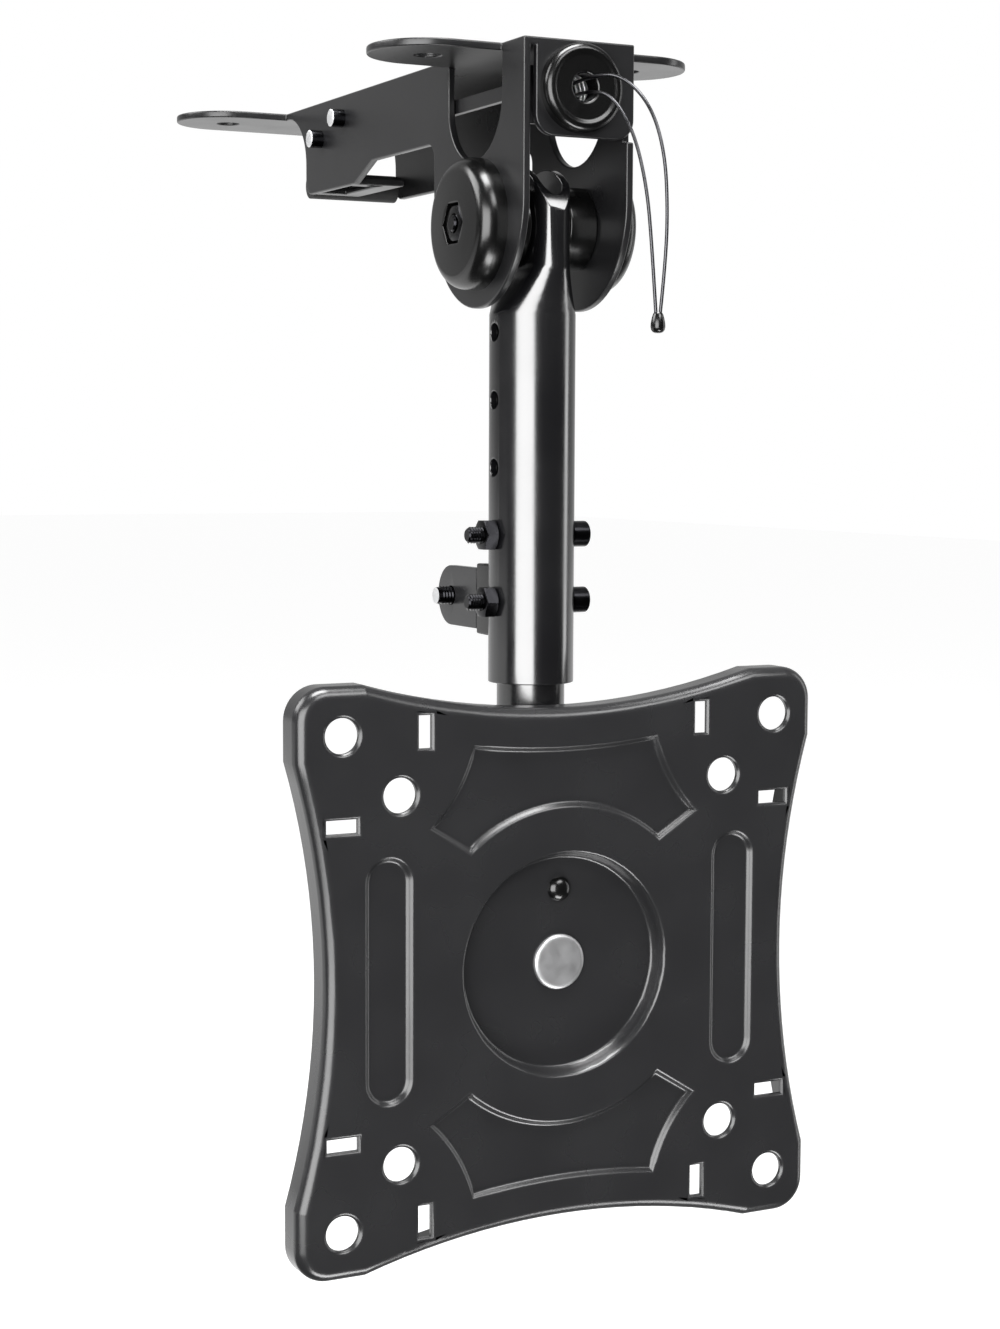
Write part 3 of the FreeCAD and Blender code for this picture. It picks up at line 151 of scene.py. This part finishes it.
# %% [markdown]
# ## Powder coat
#
# The steel sheets and the tubes are sprayed with black polyester powder and baked. The melt
# flows into a film about 70 micrometres thick whose skin keeps a faint orange peel, dents
# about a millimetre apart and a few micrometres deep. Under a softbox that peel breaks up
# the edge of each reflection. Thin patches are a shade glossier than thick ones. Polyester
# has an index near 1.5. The tubes are given 1.9, so that their highlight stays white under
# a lamp that is weak enough to leave the flat sheets black from every side.


# %% Powder coat
def powder_coat(name, colours, roughness, peel_depth, ior):
    """Baked black powder: orange peel a millimetre wide, and gloss that drifts over 15 mm."""
    made, tree, place = start_material(name)
    peel = add_node(tree, "ShaderNodeTexNoise", {"Scale": 1 / (1.1 * MM), "Detail": 2.0, "Roughness": 0.45},
                    {"Vector": place})
    dents = add_node(tree, "ShaderNodeBump", {"Strength": 0.6, "Distance": peel_depth * MM},
                     {"Height": peel.outputs["Fac"]})
    drift = add_node(tree, "ShaderNodeTexNoise", {"Scale": 1 / (15 * MM), "Detail": 3.0}, {"Vector": place})
    gloss = add_node(tree, "ShaderNodeMapRange", {
        "From Min": 0.3, "From Max": 0.7, "To Min": roughness - 0.03, "To Max": roughness + 0.03},
        {"Value": drift.outputs["Fac"]})
    shade = add_node(tree, "ShaderNodeMix", {
        "data_type": "RGBA", 6: linear(colours[0]), 7: linear(colours[1])}, {0: drift.outputs["Fac"]})
    return end_material(made, tree, {"IOR": ior}, {
        "Base Color": shade.outputs[2], "Roughness": gloss.outputs["Result"],
        "Normal": dents.outputs["Normal"]})


sheet_coat = powder_coat("satin black polyester powder coat", ("#19191a", "#1e1e1f"), 0.26, 0.006, 1.5)
bracket_coat = powder_coat("deep black polyester powder coat", ("#101011", "#131314"), 0.3, 0.006, 1.46)
tube_coat = powder_coat("gloss black polyester powder coat", ("#08080a", "#0c0c0d"), 0.2, 0.004, 1.9)

# %% [markdown]
# ## Moulded plastic, rubber and the metals
#
# The pivot caps and the grommet are black ABS from a finely etched mould, so their skin has
# a grain a fifth of a millimetre wide. The screws and the pins are steel in black zinc, the
# pins with their cut ends in bright zinc. The spring is in bright zinc and the rivet in satin
# nickel. Turned steel keeps fine marks of the lathe, drawn here a quarter of a millimetre
# apart, coarser than real ones, so that they show.


# %% Moulded plastic and rubber
def moulded(name, colour, roughness, grain, depth, ior):
    """Moulded polymer: one colour, with the mould's fine grain in relief."""
    made, tree, place = start_material(name)
    etched = add_node(tree, "ShaderNodeTexNoise", {"Scale": 1 / (grain * MM), "Detail": 3.0},
                      {"Vector": place})
    relief = add_node(tree, "ShaderNodeBump", {"Strength": 0.5, "Distance": depth * MM},
                      {"Height": etched.outputs["Fac"]})
    shade = add_node(tree, "ShaderNodeMapRange", {"To Min": roughness - 0.05, "To Max": roughness + 0.05},
                     {"Value": etched.outputs["Fac"]})
    return end_material(made, tree, {"Base Color": linear(colour), "IOR": ior}, {
        "Roughness": shade.outputs["Result"], "Normal": relief.outputs["Normal"]})


abs_plastic = moulded("etched black ABS", "#040404", 0.24, 0.2, 0.004, 1.46)
washer_plastic = moulded("polished black acetal", "#050505", 0.22, 0.4, 0.002, 1.48)
bumper_rubber = moulded("black rubber", "#0d0d0d", 0.62, 0.5, 0.015, 1.45)


# %% Plated steel
def plated_steel(name, colours, roughness, mark_pitch, relief_depth):
    """Plated steel: marks of the tool at one pitch, and cloudy plating."""
    made, tree, place = start_material(name)
    cloud = add_node(tree, "ShaderNodeTexNoise", {"Scale": 1 / (2.5 * MM), "Detail": 4.0}, {"Vector": place})
    marks = add_node(tree, "ShaderNodeTexNoise", {"Scale": 1 / (mark_pitch * MM), "Detail": 1.0},
                     {"Vector": place})
    grooves = add_node(tree, "ShaderNodeBump", {"Strength": 0.4, "Distance": relief_depth * MM},
                       {"Height": marks.outputs["Fac"]})
    colour = add_node(tree, "ShaderNodeMix", {
        "data_type": "RGBA", 6: linear(colours[0]), 7: linear(colours[1])}, {0: cloud.outputs["Fac"]})
    shade = add_node(tree, "ShaderNodeMapRange", {"To Min": roughness - 0.08, "To Max": roughness + 0.08},
                     {"Value": cloud.outputs["Fac"]})
    return end_material(made, tree, {"Metallic": 1.0}, {
        "Base Color": colour.outputs[2], "Roughness": shade.outputs["Result"],
        "Normal": grooves.outputs["Normal"]})


black_zinc = plated_steel("black zinc on steel", ("#1c1c1e", "#272729"), 0.24, 0.25, 0.003)
bright_zinc = plated_steel("bright zinc on steel", ("#d6d7d8", "#e6e6e7"), 0.45, 0.25, 0.003)
rivet_nickel = plated_steel("satin nickel on steel", ("#a6a6a7", "#b2b2b3"), 0.48, 0.25, 0.002)
wire_steel = plated_steel("drawn steel wire", ("#39393b", "#4a4a4c"), 0.3, 0.35, 0.01)

# %% [markdown]
# ## The pull wire
#
# A loop of thin steel wire pulls the latch. Both strands leave the stop behind the latch's
# tongue, pass through the grommet, bow forward because the wire is springy, and hang to one
# ferrule. Each strand is a NURBS curve whose control points are the route's points, so that
# the line is as smooth as real wire, and a bevel gives it its thickness.

# %% Wire routes
wire_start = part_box("wire_stop")[0].y
grommet_low, grommet_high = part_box("grommet")
grommet_level = (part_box("wire_stop")[0].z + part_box("wire_stop")[1].z) / 2
ferrule_low, ferrule_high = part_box("wire_ferrule")
ferrule_middle = (ferrule_low + ferrule_high) / 2 / MM
start_mm = wire_start / MM
level_mm = grommet_level / MM
upper_route = [(0, start_mm, level_mm + 1.1), (0.1, -77, level_mm + 1.3), (0.4, -85.5, level_mm + 1.9),
               (2.2, -94, level_mm + 1.2), (5.0, -100.5, -14.5), (6.6, -103.6, -24), (7.0, -104.2, -36),
               (6.9, -103.4, -46.5), (6.7, -102.2, -54.5)]
lower_route = [(0, start_mm, level_mm - 1.1), (0.1, -77, level_mm - 1.0), (0.3, -84.5, level_mm - 0.9),
               (1.6, -91, level_mm - 2.2), (3.7, -96.2, -19), (4.9, -99.6, -30), (5.3, -101.2, -42),
               (5.7, -102.2, -54.5)]
WIRE_DIAMETER = 0.7 * MM


def wire_strand(name, route, node):
    """One strand as a smooth NURBS curve along its route."""
    curve = bpy.data.curves.new(name, "CURVE")
    curve.dimensions = "3D"
    curve.bevel_depth = WIRE_DIAMETER / 2
    curve.bevel_resolution = 3
    curve.use_fill_caps = True
    spline = curve.splines.new("NURBS")
    spline.points.add(len(route) - 1)
    for point, spot in zip(spline.points, route):
        point.co = (*(Vector(spot) * MM), 1)
    spline.order_u = 3
    spline.use_endpoint_u = True
    spline.resolution_u = 12
    curve.materials.append(wire_steel)
    strand = bpy.data.objects.new(name, curve)
    scene.collection.objects.link(strand)
    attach(strand, nodes[node]["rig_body"])
    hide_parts(node)
    return strand


upper_strand = wire_strand("pull_wire_upper", upper_route, "wire_upper")
lower_strand = wire_strand("pull_wire_lower", lower_route, "wire_lower")

# %% [markdown]
# ## Making and placing pieces
#
# A turned part is a profile spun about its axis. The profile is a short list of radius and
# height pairs in millimetres, the spin merges its last step into its first, and one
# transform carries the result to its place. Shapes that a tool cuts into it, such as a hex
# recess, come from a second bmesh through a Boolean that is evaluated once, so the piece
# keeps a plain mesh.


# %% Spin, cut and place
def carried(bm, centre, axis):
    """Turn a bmesh made on the Z axis to its own axis and move it to a centre in millimetres."""
    turn = Vector((0, 0, 1)).rotation_difference(Vector(axis)).to_matrix().to_4x4()
    bmesh.ops.transform(bm, matrix=Matrix.Translation(Vector(centre) * MM) @ turn, verts=bm.verts)
    return bm


def turned(profile, steps=72):
    """Spin a closed profile of (radius, height) pairs in millimetres about the Z axis."""
    bm = bmesh.new()
    verts = [bm.verts.new((radius * MM, 0, height * MM)) for radius, height in profile]
    edges = [bm.edges.new(pair) for pair in zip(verts, verts[1:])]
    bmesh.ops.spin(bm, geom=verts + edges, cent=(0, 0, 0), axis=(0, 0, 1), angle=math.tau, steps=steps,
                   use_merge=True)
    bmesh.ops.remove_doubles(bm, verts=bm.verts, dist=0.0005 * MM)
    bmesh.ops.recalc_face_normals(bm, faces=bm.faces)
    return bm


def round_corner(radius, height, across, up, steps=6):
    """Profile points round a corner whose outer ends are at a radius and a height."""
    quarter = [math.radians(90 * step / steps) for step in range(steps + 1)]
    return [(radius - across + across * math.cos(angle), height - up + up * math.sin(angle))
            for angle in quarter]


def prism(across, low, high):
    """A hexagonal prism on the Z axis, by its width across flats and its two heights."""
    bm = bmesh.new()
    reach = across / math.sqrt(3) * MM
    bmesh.ops.create_cone(bm, cap_ends=True, segments=6, radius1=reach, radius2=reach,
                          depth=(high - low) * MM)
    bmesh.ops.translate(bm, vec=(0, 0, (high + low) / 2 * MM), verts=bm.verts)
    return bm


def carve(stock, tool, operation="DIFFERENCE"):
    """Evaluate one Boolean of two bmeshes and return it as a new bmesh."""
    pair = []
    for part in (stock, tool):
        mesh = bpy.data.meshes.new("stock")
        part.to_mesh(mesh)
        part.free()
        pair.append(bpy.data.objects.new("stock", mesh))
        scene.collection.objects.link(pair[-1])
    cut = pair[0].modifiers.new("cut", "BOOLEAN")
    cut.operation = operation
    cut.solver = "EXACT"
    cut.object = pair[1]
    bpy.context.view_layer.update()
    result = bmesh.new()
    result.from_object(pair[0], bpy.context.evaluated_depsgraph_get())
    for part in pair:
        mesh = part.data
        bpy.data.objects.remove(part)
        bpy.data.meshes.remove(mesh)
    return result


def place_piece(bm, name, material, stands_for, crease=40, cut_end=None):
    """Turn a bmesh into a piece that rides with the node it stands for; its left end may be bare."""
    if cut_end:
        left = min(vert.co.x for vert in bm.verts)
        for face in bm.faces:
            if face.calc_center_median().x < left + 0.1 * MM:
                face.material_index = 1
    for face in bm.faces:
        face.smooth = True
    for edge in bm.edges:
        edge.smooth = len(edge.link_faces) == 2 and edge.calc_face_angle() < math.radians(crease)
    mesh = bpy.data.meshes.new(name)
    bm.to_mesh(mesh)
    bm.free()
    mesh.materials.append(material)
    if cut_end:
        mesh.materials.append(cut_end)
    piece = bpy.data.objects.new(name, mesh)
    scene.collection.objects.link(piece)
    weighted = piece.modifiers.new("even flats", "WEIGHTED_NORMAL")
    weighted.keep_sharp = True
    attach(piece, nodes[stands_for]["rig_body"])
    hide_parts(stands_for)
    print(name, len(mesh.polygons), "faces")
    return piece


def middle(node):
    """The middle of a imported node's box, in millimetres."""
    low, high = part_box(node)
    return (low + high) / 2 / MM


# %% [markdown]
# ## The sheet parts
#
# The bracket, the plate, the tilt fork and the latch parts are cut and pressed from steel
# sheet. A punched edge is broken by tumbling and then rounded once more by the powder, which
# pulls back from corners. That soft edge catches the thin bright lines that outline every
# hole and rib, so each sheet gets a real bevel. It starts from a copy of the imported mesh
# whose doubles are merged, because a bevel needs edges with a face on both sides. On the
# plate only the lips, floors and rims that lie level with the sheet are bevelled, since its
# turned edge is round already. A die can't press an upright wall, so there a first bevel of
# one segment leans the walls, and a second one rounds what is left of the lips and floors.


# %% Round the sheets
def merged_copy(node):
    """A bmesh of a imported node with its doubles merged."""
    bm = bmesh.new()
    bm.from_mesh(nodes[node].data)
    bmesh.ops.remove_doubles(bm, verts=bm.verts, dist=0.002 * MM)
    return bm


def on_a_level(edge, steepest=0.5):
    """Whether an edge of the plate runs level with the sheet, between a flat and a wall."""
    if abs(edge.verts[0].co.y - edge.verts[1].co.y) > 0.01 * MM:
        return False
    lean = sorted(abs(face.normal.y) for face in edge.link_faces)
    return lean[0] < steepest and lean[1] > 0.95 and min(face.calc_area() for face in edge.link_faces) > 2e-9


def soften(bm, width, segments=2, choose=None):
    """Round the edges of a bmesh that are sharper than 30 degrees."""
    edges = [edge for edge in bm.edges if len(edge.link_faces) == 2
             and edge.calc_face_angle() > math.radians(30) and (choose is None or choose(edge))]
    bmesh.ops.bevel(bm, geom=edges, offset=width * MM, offset_type="OFFSET", affect="EDGES",
                    segments=segments, profile=0.5, material=-1, clamp_overlap=False)
    return bm


LIP_LEAN, LIP_ROUND = 0.52, 0.36
plate_stock = soften(merged_copy("screen_plate"), LIP_LEAN, 1, on_a_level)
soften(plate_stock, LIP_ROUND, 3, lambda edge: on_a_level(edge, steepest=0.8))
place_piece(plate_stock, "stamped_plate", sheet_coat, "screen_plate")
place_piece(soften(merged_copy("ceiling_bracket"), 0.35, 3), "folded_bracket", bracket_coat,
            "ceiling_bracket")
place_piece(soften(merged_copy("tilt_fork"), 0.2), "tilt_bracket", bracket_coat, "tilt_fork")
place_piece(soften(merged_copy("latch_bar"), 0.15), "catch_bar", bracket_coat, "latch_bar")
place_piece(soften(merged_copy("striker_bracket"), 0.2), "striker_tab", sheet_coat, "striker_bracket")
place_piece(soften(merged_copy("saddle"), 0.4), "tube_saddle", washer_plastic, "saddle")
place_piece(soften(merged_copy("friction_disc_left"), 0.6, 3), "left_friction_disc", washer_plastic,
            "friction_disc_left")
place_piece(soften(merged_copy("friction_disc_right"), 0.6, 3), "right_friction_disc", washer_plastic,
            "friction_disc_right")

# %% [markdown]
# ## The tubes
#
# The outer tube is pressed flat at its upper end. The press leaves its cut ends and its
# drilled holes a little rounded, and the powder rounds them more, so both tubes get a small
# bevel there. The taper below the flat has no sharp line, and its shading runs on smoothly
# because a crease only counts from 60 degrees on.

# %% Round the tubes
place_piece(soften(merged_copy("outer_tube"), 0.22), "pressed_tube", tube_coat, "outer_tube",
            60)
place_piece(soften(merged_copy("inner_tube"), 0.2), "sliding_tube", tube_coat, "inner_tube")

# %% [markdown]
# ## Caps and grommet
#
# Each end of the pivot bolt sits in a round cap with a broad, soft rim, the widest glossy
# curve on the mount. The cap is spun from a profile with an elliptical corner, and a hex
# recess is cut for the nut. The grommet is spun too: a fat rolled rim stands round a face
# that lies a little lower, and the hole's lip is rounded so that the wires don't chafe.

# %% Turn the caps and the grommet
CAP_RADIUS, CAP_HEIGHT, CAP_RECESS = 13.4, 6.0, 8.2
cap_profile = [(2.05, 0), (CAP_RADIUS, 0)] + round_corner(CAP_RADIUS, CAP_HEIGHT - 0.25, 2.9, 3.6, 10)
cap_profile += [(7.0, CAP_HEIGHT - 0.06), (5.0, CAP_HEIGHT), (2.05, CAP_HEIGHT), (2.05, 0)]
for side, sign in (("left", -1), ("right", 1)):
    node = "pivot_cap_" + side
    base_x = (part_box(node)[1].x if sign < 0 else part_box(node)[0].x) / MM
    seat = middle(node)
    cap = carve(turned(cap_profile, 96), prism(CAP_RECESS, CAP_HEIGHT - 3.5, CAP_HEIGHT + 1))
    soften(cap, 0.2, 2, lambda edge: min(vert.co.z for vert in edge.verts) > (CAP_HEIGHT - 0.01) * MM)
    place_piece(carried(cap, (base_x, seat.y, seat.z), (sign, 0, 0)), side + "_pivot_cap", abs_plastic, node)

grommet_middle = middle("grommet")
flange_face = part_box("ceiling_bracket")[0].y / MM
grommet_profile = [(2.75, -1.6), (4.0, -1.6), (4.0, 0), (8.8, 0), (8.8, 1.3)]
grommet_profile += round_corner(8.8, 3.0, 1.5, 1.7, 8)
grommet_profile += [(6.9, 2.92), (6.6, 2.72), (6.2, 2.68), (3.4, 2.68), (3.05, 2.6), (2.82, 2.4), (2.75, 2.1),
                    (2.75, -1.6)]
place_piece(carried(turned(grommet_profile, 96), (0, flange_face, grommet_middle.z), (0, -1, 0)),
            "wire_grommet", abs_plastic, "grommet")

# %% [markdown]
# ## Screws, nuts and pins
#
# The height bolts are cap screws whose threads stand out of thin nuts on the left. A thread
# is a ridge that climbs as it turns, so a small triangle is spun with a step along the
# axis, and its two open ends are filled. A nut is a hexagonal prism whose corners a cone has
# taken off at both ends, here by keeping only what the prism shares with a turned barrel.


# %% Thread, bolt and nut
def thread(bm, radius, depth, pitch, low, high, steps=24):
    """Add a helical ridge between two heights to a bolt made on the Z axis."""
    count = int((high - low) / pitch * steps)
    ridge = [(radius - depth, low), (radius, low + pitch * 0.35), (radius - depth, low + pitch * 0.7)]
    verts = [bm.verts.new((reach * MM, 0, height * MM)) for reach, height in ridge]
    edges = [bm.edges.new((verts[index], verts[(index + 1) % 3])) for index in range(3)]
    made = bmesh.ops.spin(bm, geom=verts + edges, cent=(0, 0, 0), axis=(0, 0, 1),
                          angle=math.tau * count / steps, steps=count, dvec=(0, 0, pitch / steps * MM))
    last = [part for part in made["geom_last"] if isinstance(part, bmesh.types.BMEdge)]
    bmesh.ops.edgeloop_fill(bm, edges=edges)
    bmesh.ops.edgeloop_fill(bm, edges=last)
    bmesh.ops.recalc_face_normals(bm, faces=bm.faces)


def hex_nut(across, height, hole):
    """A nut on the Z axis from 0 to its height, with its corners taken off by a cone."""
    corner = across / math.sqrt(3)
    barrel = turned([(hole, 0), (across / 2 * 0.96, 0), (corner + 0.02, (corner - across / 2 * 0.96) * 0.55),
                     (corner + 0.02, height - (corner - across / 2 * 0.96) * 0.55),
                     (across / 2 * 0.96, height), (hole, height), (hole, 0)], 60)
    return carve(prism(across, -0.5, height + 0.5), barrel, "INTERSECT")


for level in ("upper", "lower"):
    low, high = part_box("height_bolt_" + level)
    seat = middle("height_bolt_" + level)
    reach = (high.x - low.x) / MM
    head = reach - 3.8
    bolt = turned([(0, 0), (1.2, 0), (1.5, 0.3), (1.5, 5.6), (1.75, 5.9), (1.75, head), (2.75, head)]
                  + round_corner(2.75, reach, 0.35, 0.35, 3) + [(0, reach)], 48)
    thread(bolt, 1.75, 0.28, 0.6, 0.25, 5.5)
    place_piece(carried(bolt, (low.x / MM, seat.y, seat.z), (1, 0, 0)), level + "_height_bolt",
                black_zinc, "height_bolt_" + level)
    nut_low, nut_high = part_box("height_nut_" + level)
    nut = hex_nut(6.0, (nut_high.x - nut_low.x) / MM, 1.8)
    place_piece(carried(nut, (nut_low.x / MM, seat.y, seat.z), (1, 0, 0)), level + "_height_nut",
                black_zinc, "height_nut_" + level)

pivot_low, pivot_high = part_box("pivot_bolt")
pivot_seat = middle("pivot_bolt")
pivot_reach = (pivot_high.x - pivot_low.x) / MM
pivot_head = pivot_reach - 3.2
pivot_bolt = turned([(0, 0), (1.35, 0), (1.7, 0.35), (1.7, 3.6), (2.0, 3.9), (2.0, pivot_head),
                     (3.5, pivot_head)]
                    + round_corner(3.5, pivot_reach, 0.4, 0.4, 3) + [(0, pivot_reach)], 48)
thread(pivot_bolt, 2.0, 0.32, 0.7, 0.3, 3.5)
place_piece(carried(pivot_bolt, (pivot_low.x / MM, pivot_seat.y, pivot_seat.z), (1, 0, 0)),
            "pivot_screw", black_zinc, "pivot_bolt")
nut_low, nut_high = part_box("pivot_nut")
nut = hex_nut(7.0, (nut_high.x - nut_low.x) / MM, 2.05)
place_piece(carried(nut, (nut_low.x / MM, pivot_seat.y, pivot_seat.z), (1, 0, 0)), "pivot_lock_nut",
            black_zinc, "pivot_nut")

# %% Pins, rivet and lock screw
PIN_HEAD, PIN_STAND, PIN_SHANK = 2.1, 3.0, 1.45
for node in ("guide_pin", "stop_pin"):
    low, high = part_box(node)
    seat = middle(node)
    reach = (high.x - low.x) / MM
    rim = [(radius, -height + PIN_STAND)
           for radius, height in round_corner(PIN_HEAD, PIN_STAND, 0.35, 0.35, 4)][::-1]
    pin = turned([(0, 0)] + rim + [(PIN_HEAD, PIN_STAND), (PIN_SHANK, PIN_STAND), (PIN_SHANK, reach - 0.3),
                                   (PIN_SHANK - 0.3, reach), (0, reach)], 48)
    place_piece(carried(pin, (low.x / MM, seat.y, seat.z), (1, 0, 0)), node + "_turned", black_zinc,
                node, cut_end=bright_zinc)
low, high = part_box("striker_pin")
seat = middle("striker_pin")
reach = (high.x - low.x) / MM
pin = turned([(0, 0), (1.75, 0), (1.8, 0.4), (1.8, 3.7), (2.0, 4.0), (2.0, reach - 0.3), (1.7, reach),
              (0, reach)], 48)
thread(pin, 2.0, 0.2, 0.7, 0.5, 3.6)
place_piece(carried(pin, (low.x / MM, seat.y, seat.z), (1, 0, 0)), "striker_pin_turned", black_zinc,
            "striker_pin", cut_end=bright_zinc)

low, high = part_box("centre_rivet")
seat = middle("centre_rivet")
reach = (high.y - low.y) / MM
rivet = turned([(0, 0.04), (4.6, 0.0), (5.2, 0.05), (5.62, 0.25), (5.8, 0.55), (5.8, 0.9), (4.0, 0.9),
                (4.0, reach - 1.0), (5.0, reach - 1.0), (5.0, reach - 0.3), (4.7, reach), (0, reach)], 72)
place_piece(carried(rivet, (seat.x, low.y / MM, seat.z), (0, 1, 0)), "centre_rivet_headed", rivet_nickel,
            "centre_rivet")

low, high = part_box("lock_screw")
seat = middle("lock_screw")
reach = (high.y - low.y) / MM
DOME_RADIUS, DOME_HEIGHT = 2.6, 1.6
dome = [(DOME_RADIUS * math.cos(math.radians(angle)), DOME_HEIGHT - DOME_HEIGHT * math.sin(math.radians(angle)))
        for angle in range(0, 91, 9)]
screw = turned(dome[::-1] + [(DOME_RADIUS, DOME_HEIGHT), (1.5, 1.62), (1.5, reach - 0.3), (1.2, reach),
                             (0, reach)], 48)
place_piece(carried(screw, (seat.x, low.y / MM, seat.z), (0, 1, 0)), "lock_screw_domed", washer_plastic,
            "lock_screw")

# %% [markdown]
# ## The ferrule
#
# The two strands end in one crimped and dipped ferrule, a small glossy drop, wider towards
# its lower end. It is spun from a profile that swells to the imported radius.

# %% Turn the ferrule
ferrule_length = (ferrule_high.z - ferrule_low.z) / MM
drop = [(0, 0), (0.55, 0.03), (1.0, 0.22), (1.32, 0.62), (1.45, 1.2), (1.42, 1.9), (1.25, 2.8), (1.05, 3.5),
        (0.9, ferrule_length - 0.15), (0.75, ferrule_length), (0, ferrule_length)]
ferrule_foot = (ferrule_middle.x, ferrule_middle.y, ferrule_low.z / MM)
drop_piece = place_piece(carried(turned(drop, 40), ferrule_foot, (0, 0, 1)), "wire_ferrule_drop",
                         washer_plastic, "wire_ferrule")

# %% [markdown]
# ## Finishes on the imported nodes
#
# The spring, the rubber bar and the small parts behind the plate are already the right
# shape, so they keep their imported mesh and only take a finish.

# %% Finish what stays
finishes = {
    washer_plastic: ["swivel_washer"],
    black_zinc: ["tilt_bolt", "tilt_nut", "tilt_washer_left", "tilt_washer_right", "lock_nut", "wire_stop"],
    bright_zinc: ["latch_spring"],
    bumper_rubber: ["rear_bumper"],
}
for material, names in finishes.items():
    for name in names:
        nodes[name].data.materials.clear()
        nodes[name].data.materials.append(material)

for strand, route in ((upper_strand, upper_route), (lower_strand, lower_route)):
    bpy.context.view_layer.update()
    reach = strand.data.splines[0].calc_length()
    print(strand.name, "length", round(reach / MM, 1), "mm")

# %% [markdown]
# ## The studio
#
# Black gloss shows only what surrounds it, so the studio does the modelling. The walls are
# dim in front, which keeps the flat faces dark grey, and bright behind, where the tabs and
# the shelf mirror them. A tall softbox to the left draws the long highlight down the tube.
# Lamps above and below catch the pressed lips, and a lamp high at the rear left lights the
# bracket's side. The floor is plain and pale, lies well below the plate and starts behind
# it, so that the plate doesn't mirror it.

# %% Floor, lamps and background
floor_bm = bmesh.new()
FLOOR_HALF, FLOOR_START, FLOOR_LEVEL = 6, 0.2, -0.45
bmesh.ops.create_grid(floor_bm, x_segments=1, y_segments=1, size=FLOOR_HALF)
floor_mesh = bpy.data.meshes.new("floor")
floor_bm.to_mesh(floor_mesh)
floor_bm.free()
floor = bpy.data.objects.new("floor", floor_mesh)
floor.location = (0, FLOOR_START + FLOOR_HALF, FLOOR_LEVEL)
floor_paint, floor_tree, _ = start_material("pale studio floor")
end_material(floor_paint, floor_tree, {"Base Color": linear("#8c8c8c"), "Roughness": 0.9,
                                       "Emission Color": linear("#ffffff"), "Emission Strength": 0.9}, {})
floor_mesh.materials.append(floor_paint)
scene.collection.objects.link(floor)


LAMP_DISTANCE = 1.3
LOOKED_AT = Vector((0, -0.07, -0.12))


def softbox(name, azimuth, elevation, width, height, radiance):
    """A rectangular lamp that looks at the mount, with its radiance rather than its watts."""
    data = bpy.data.lights.new(name, "AREA")
    data.shape = "RECTANGLE"
    data.size = width
    data.size_y = height
    data.energy = radiance * math.pi * width * height
    lamp = bpy.data.objects.new(name, data)
    turn, rise = math.radians(azimuth), math.radians(elevation)
    away = Vector((math.sin(turn) * math.cos(rise), -math.cos(turn) * math.cos(rise), math.sin(rise)))
    lamp.location = LOOKED_AT + away * LAMP_DISTANCE
    lamp.rotation_mode = "QUATERNION"
    lamp.rotation_quaternion = away.to_track_quat("Z", "Y")
    scene.collection.objects.link(lamp)
    return lamp


lamps = (  # name, azimuth and elevation in degrees, width and height in metres, radiance
    ("tall softbox", -45, 2, 1.2, 1.1, 10), ("high front softbox", 18, 42, 0.8, 0.45, 11),
    ("top lamp", 0, 80, 0.8, 0.6, 26), ("right strip", 78, 4, 0.28, 1.4, 4),
    ("rear left lamp", -115, 35, 0.9, 0.7, 9), ("low front lamp", 16, -62, 0.8, 0.4, 15))
for settings in lamps:
    softbox(*settings)
print("lamps:", len(lamps))

world = bpy.data.worlds.new("white studio")
scene.world = world
world.use_nodes = True
room = world.node_tree
room.nodes.clear()
where = add_node(room, "ShaderNodeTexCoord")
facing = add_node(room, "ShaderNodeVectorMath", {"operation": "DOT_PRODUCT", 1: (0.446, 0.895, 0.0)},
                  {0: where.outputs["Generated"]})
wall_light = add_node(room, "ShaderNodeMapRange", {"From Min": 0.1, "From Max": 0.95, "To Min": 0.06,
                                                   "To Max": 0.65}, {"Value": facing.outputs["Value"]})
walls = add_node(room, "ShaderNodeBackground", links={"Strength": wall_light.outputs["Result"]})
backdrop = add_node(room, "ShaderNodeBackground", {"Strength": 1.0})
for shade in (walls, backdrop):
    shade.inputs["Color"].default_value = (1, 1, 1, 1)
seen = add_node(room, "ShaderNodeLightPath")
joined = add_node(room, "ShaderNodeMixShader", links={
    0: seen.outputs["Is Camera Ray"], 1: walls.outputs[0], 2: backdrop.outputs[0]})
add_node(room, "ShaderNodeOutputWorld", links={"Surface": joined.outputs[0]})
scene.view_settings.view_transform = "Standard"
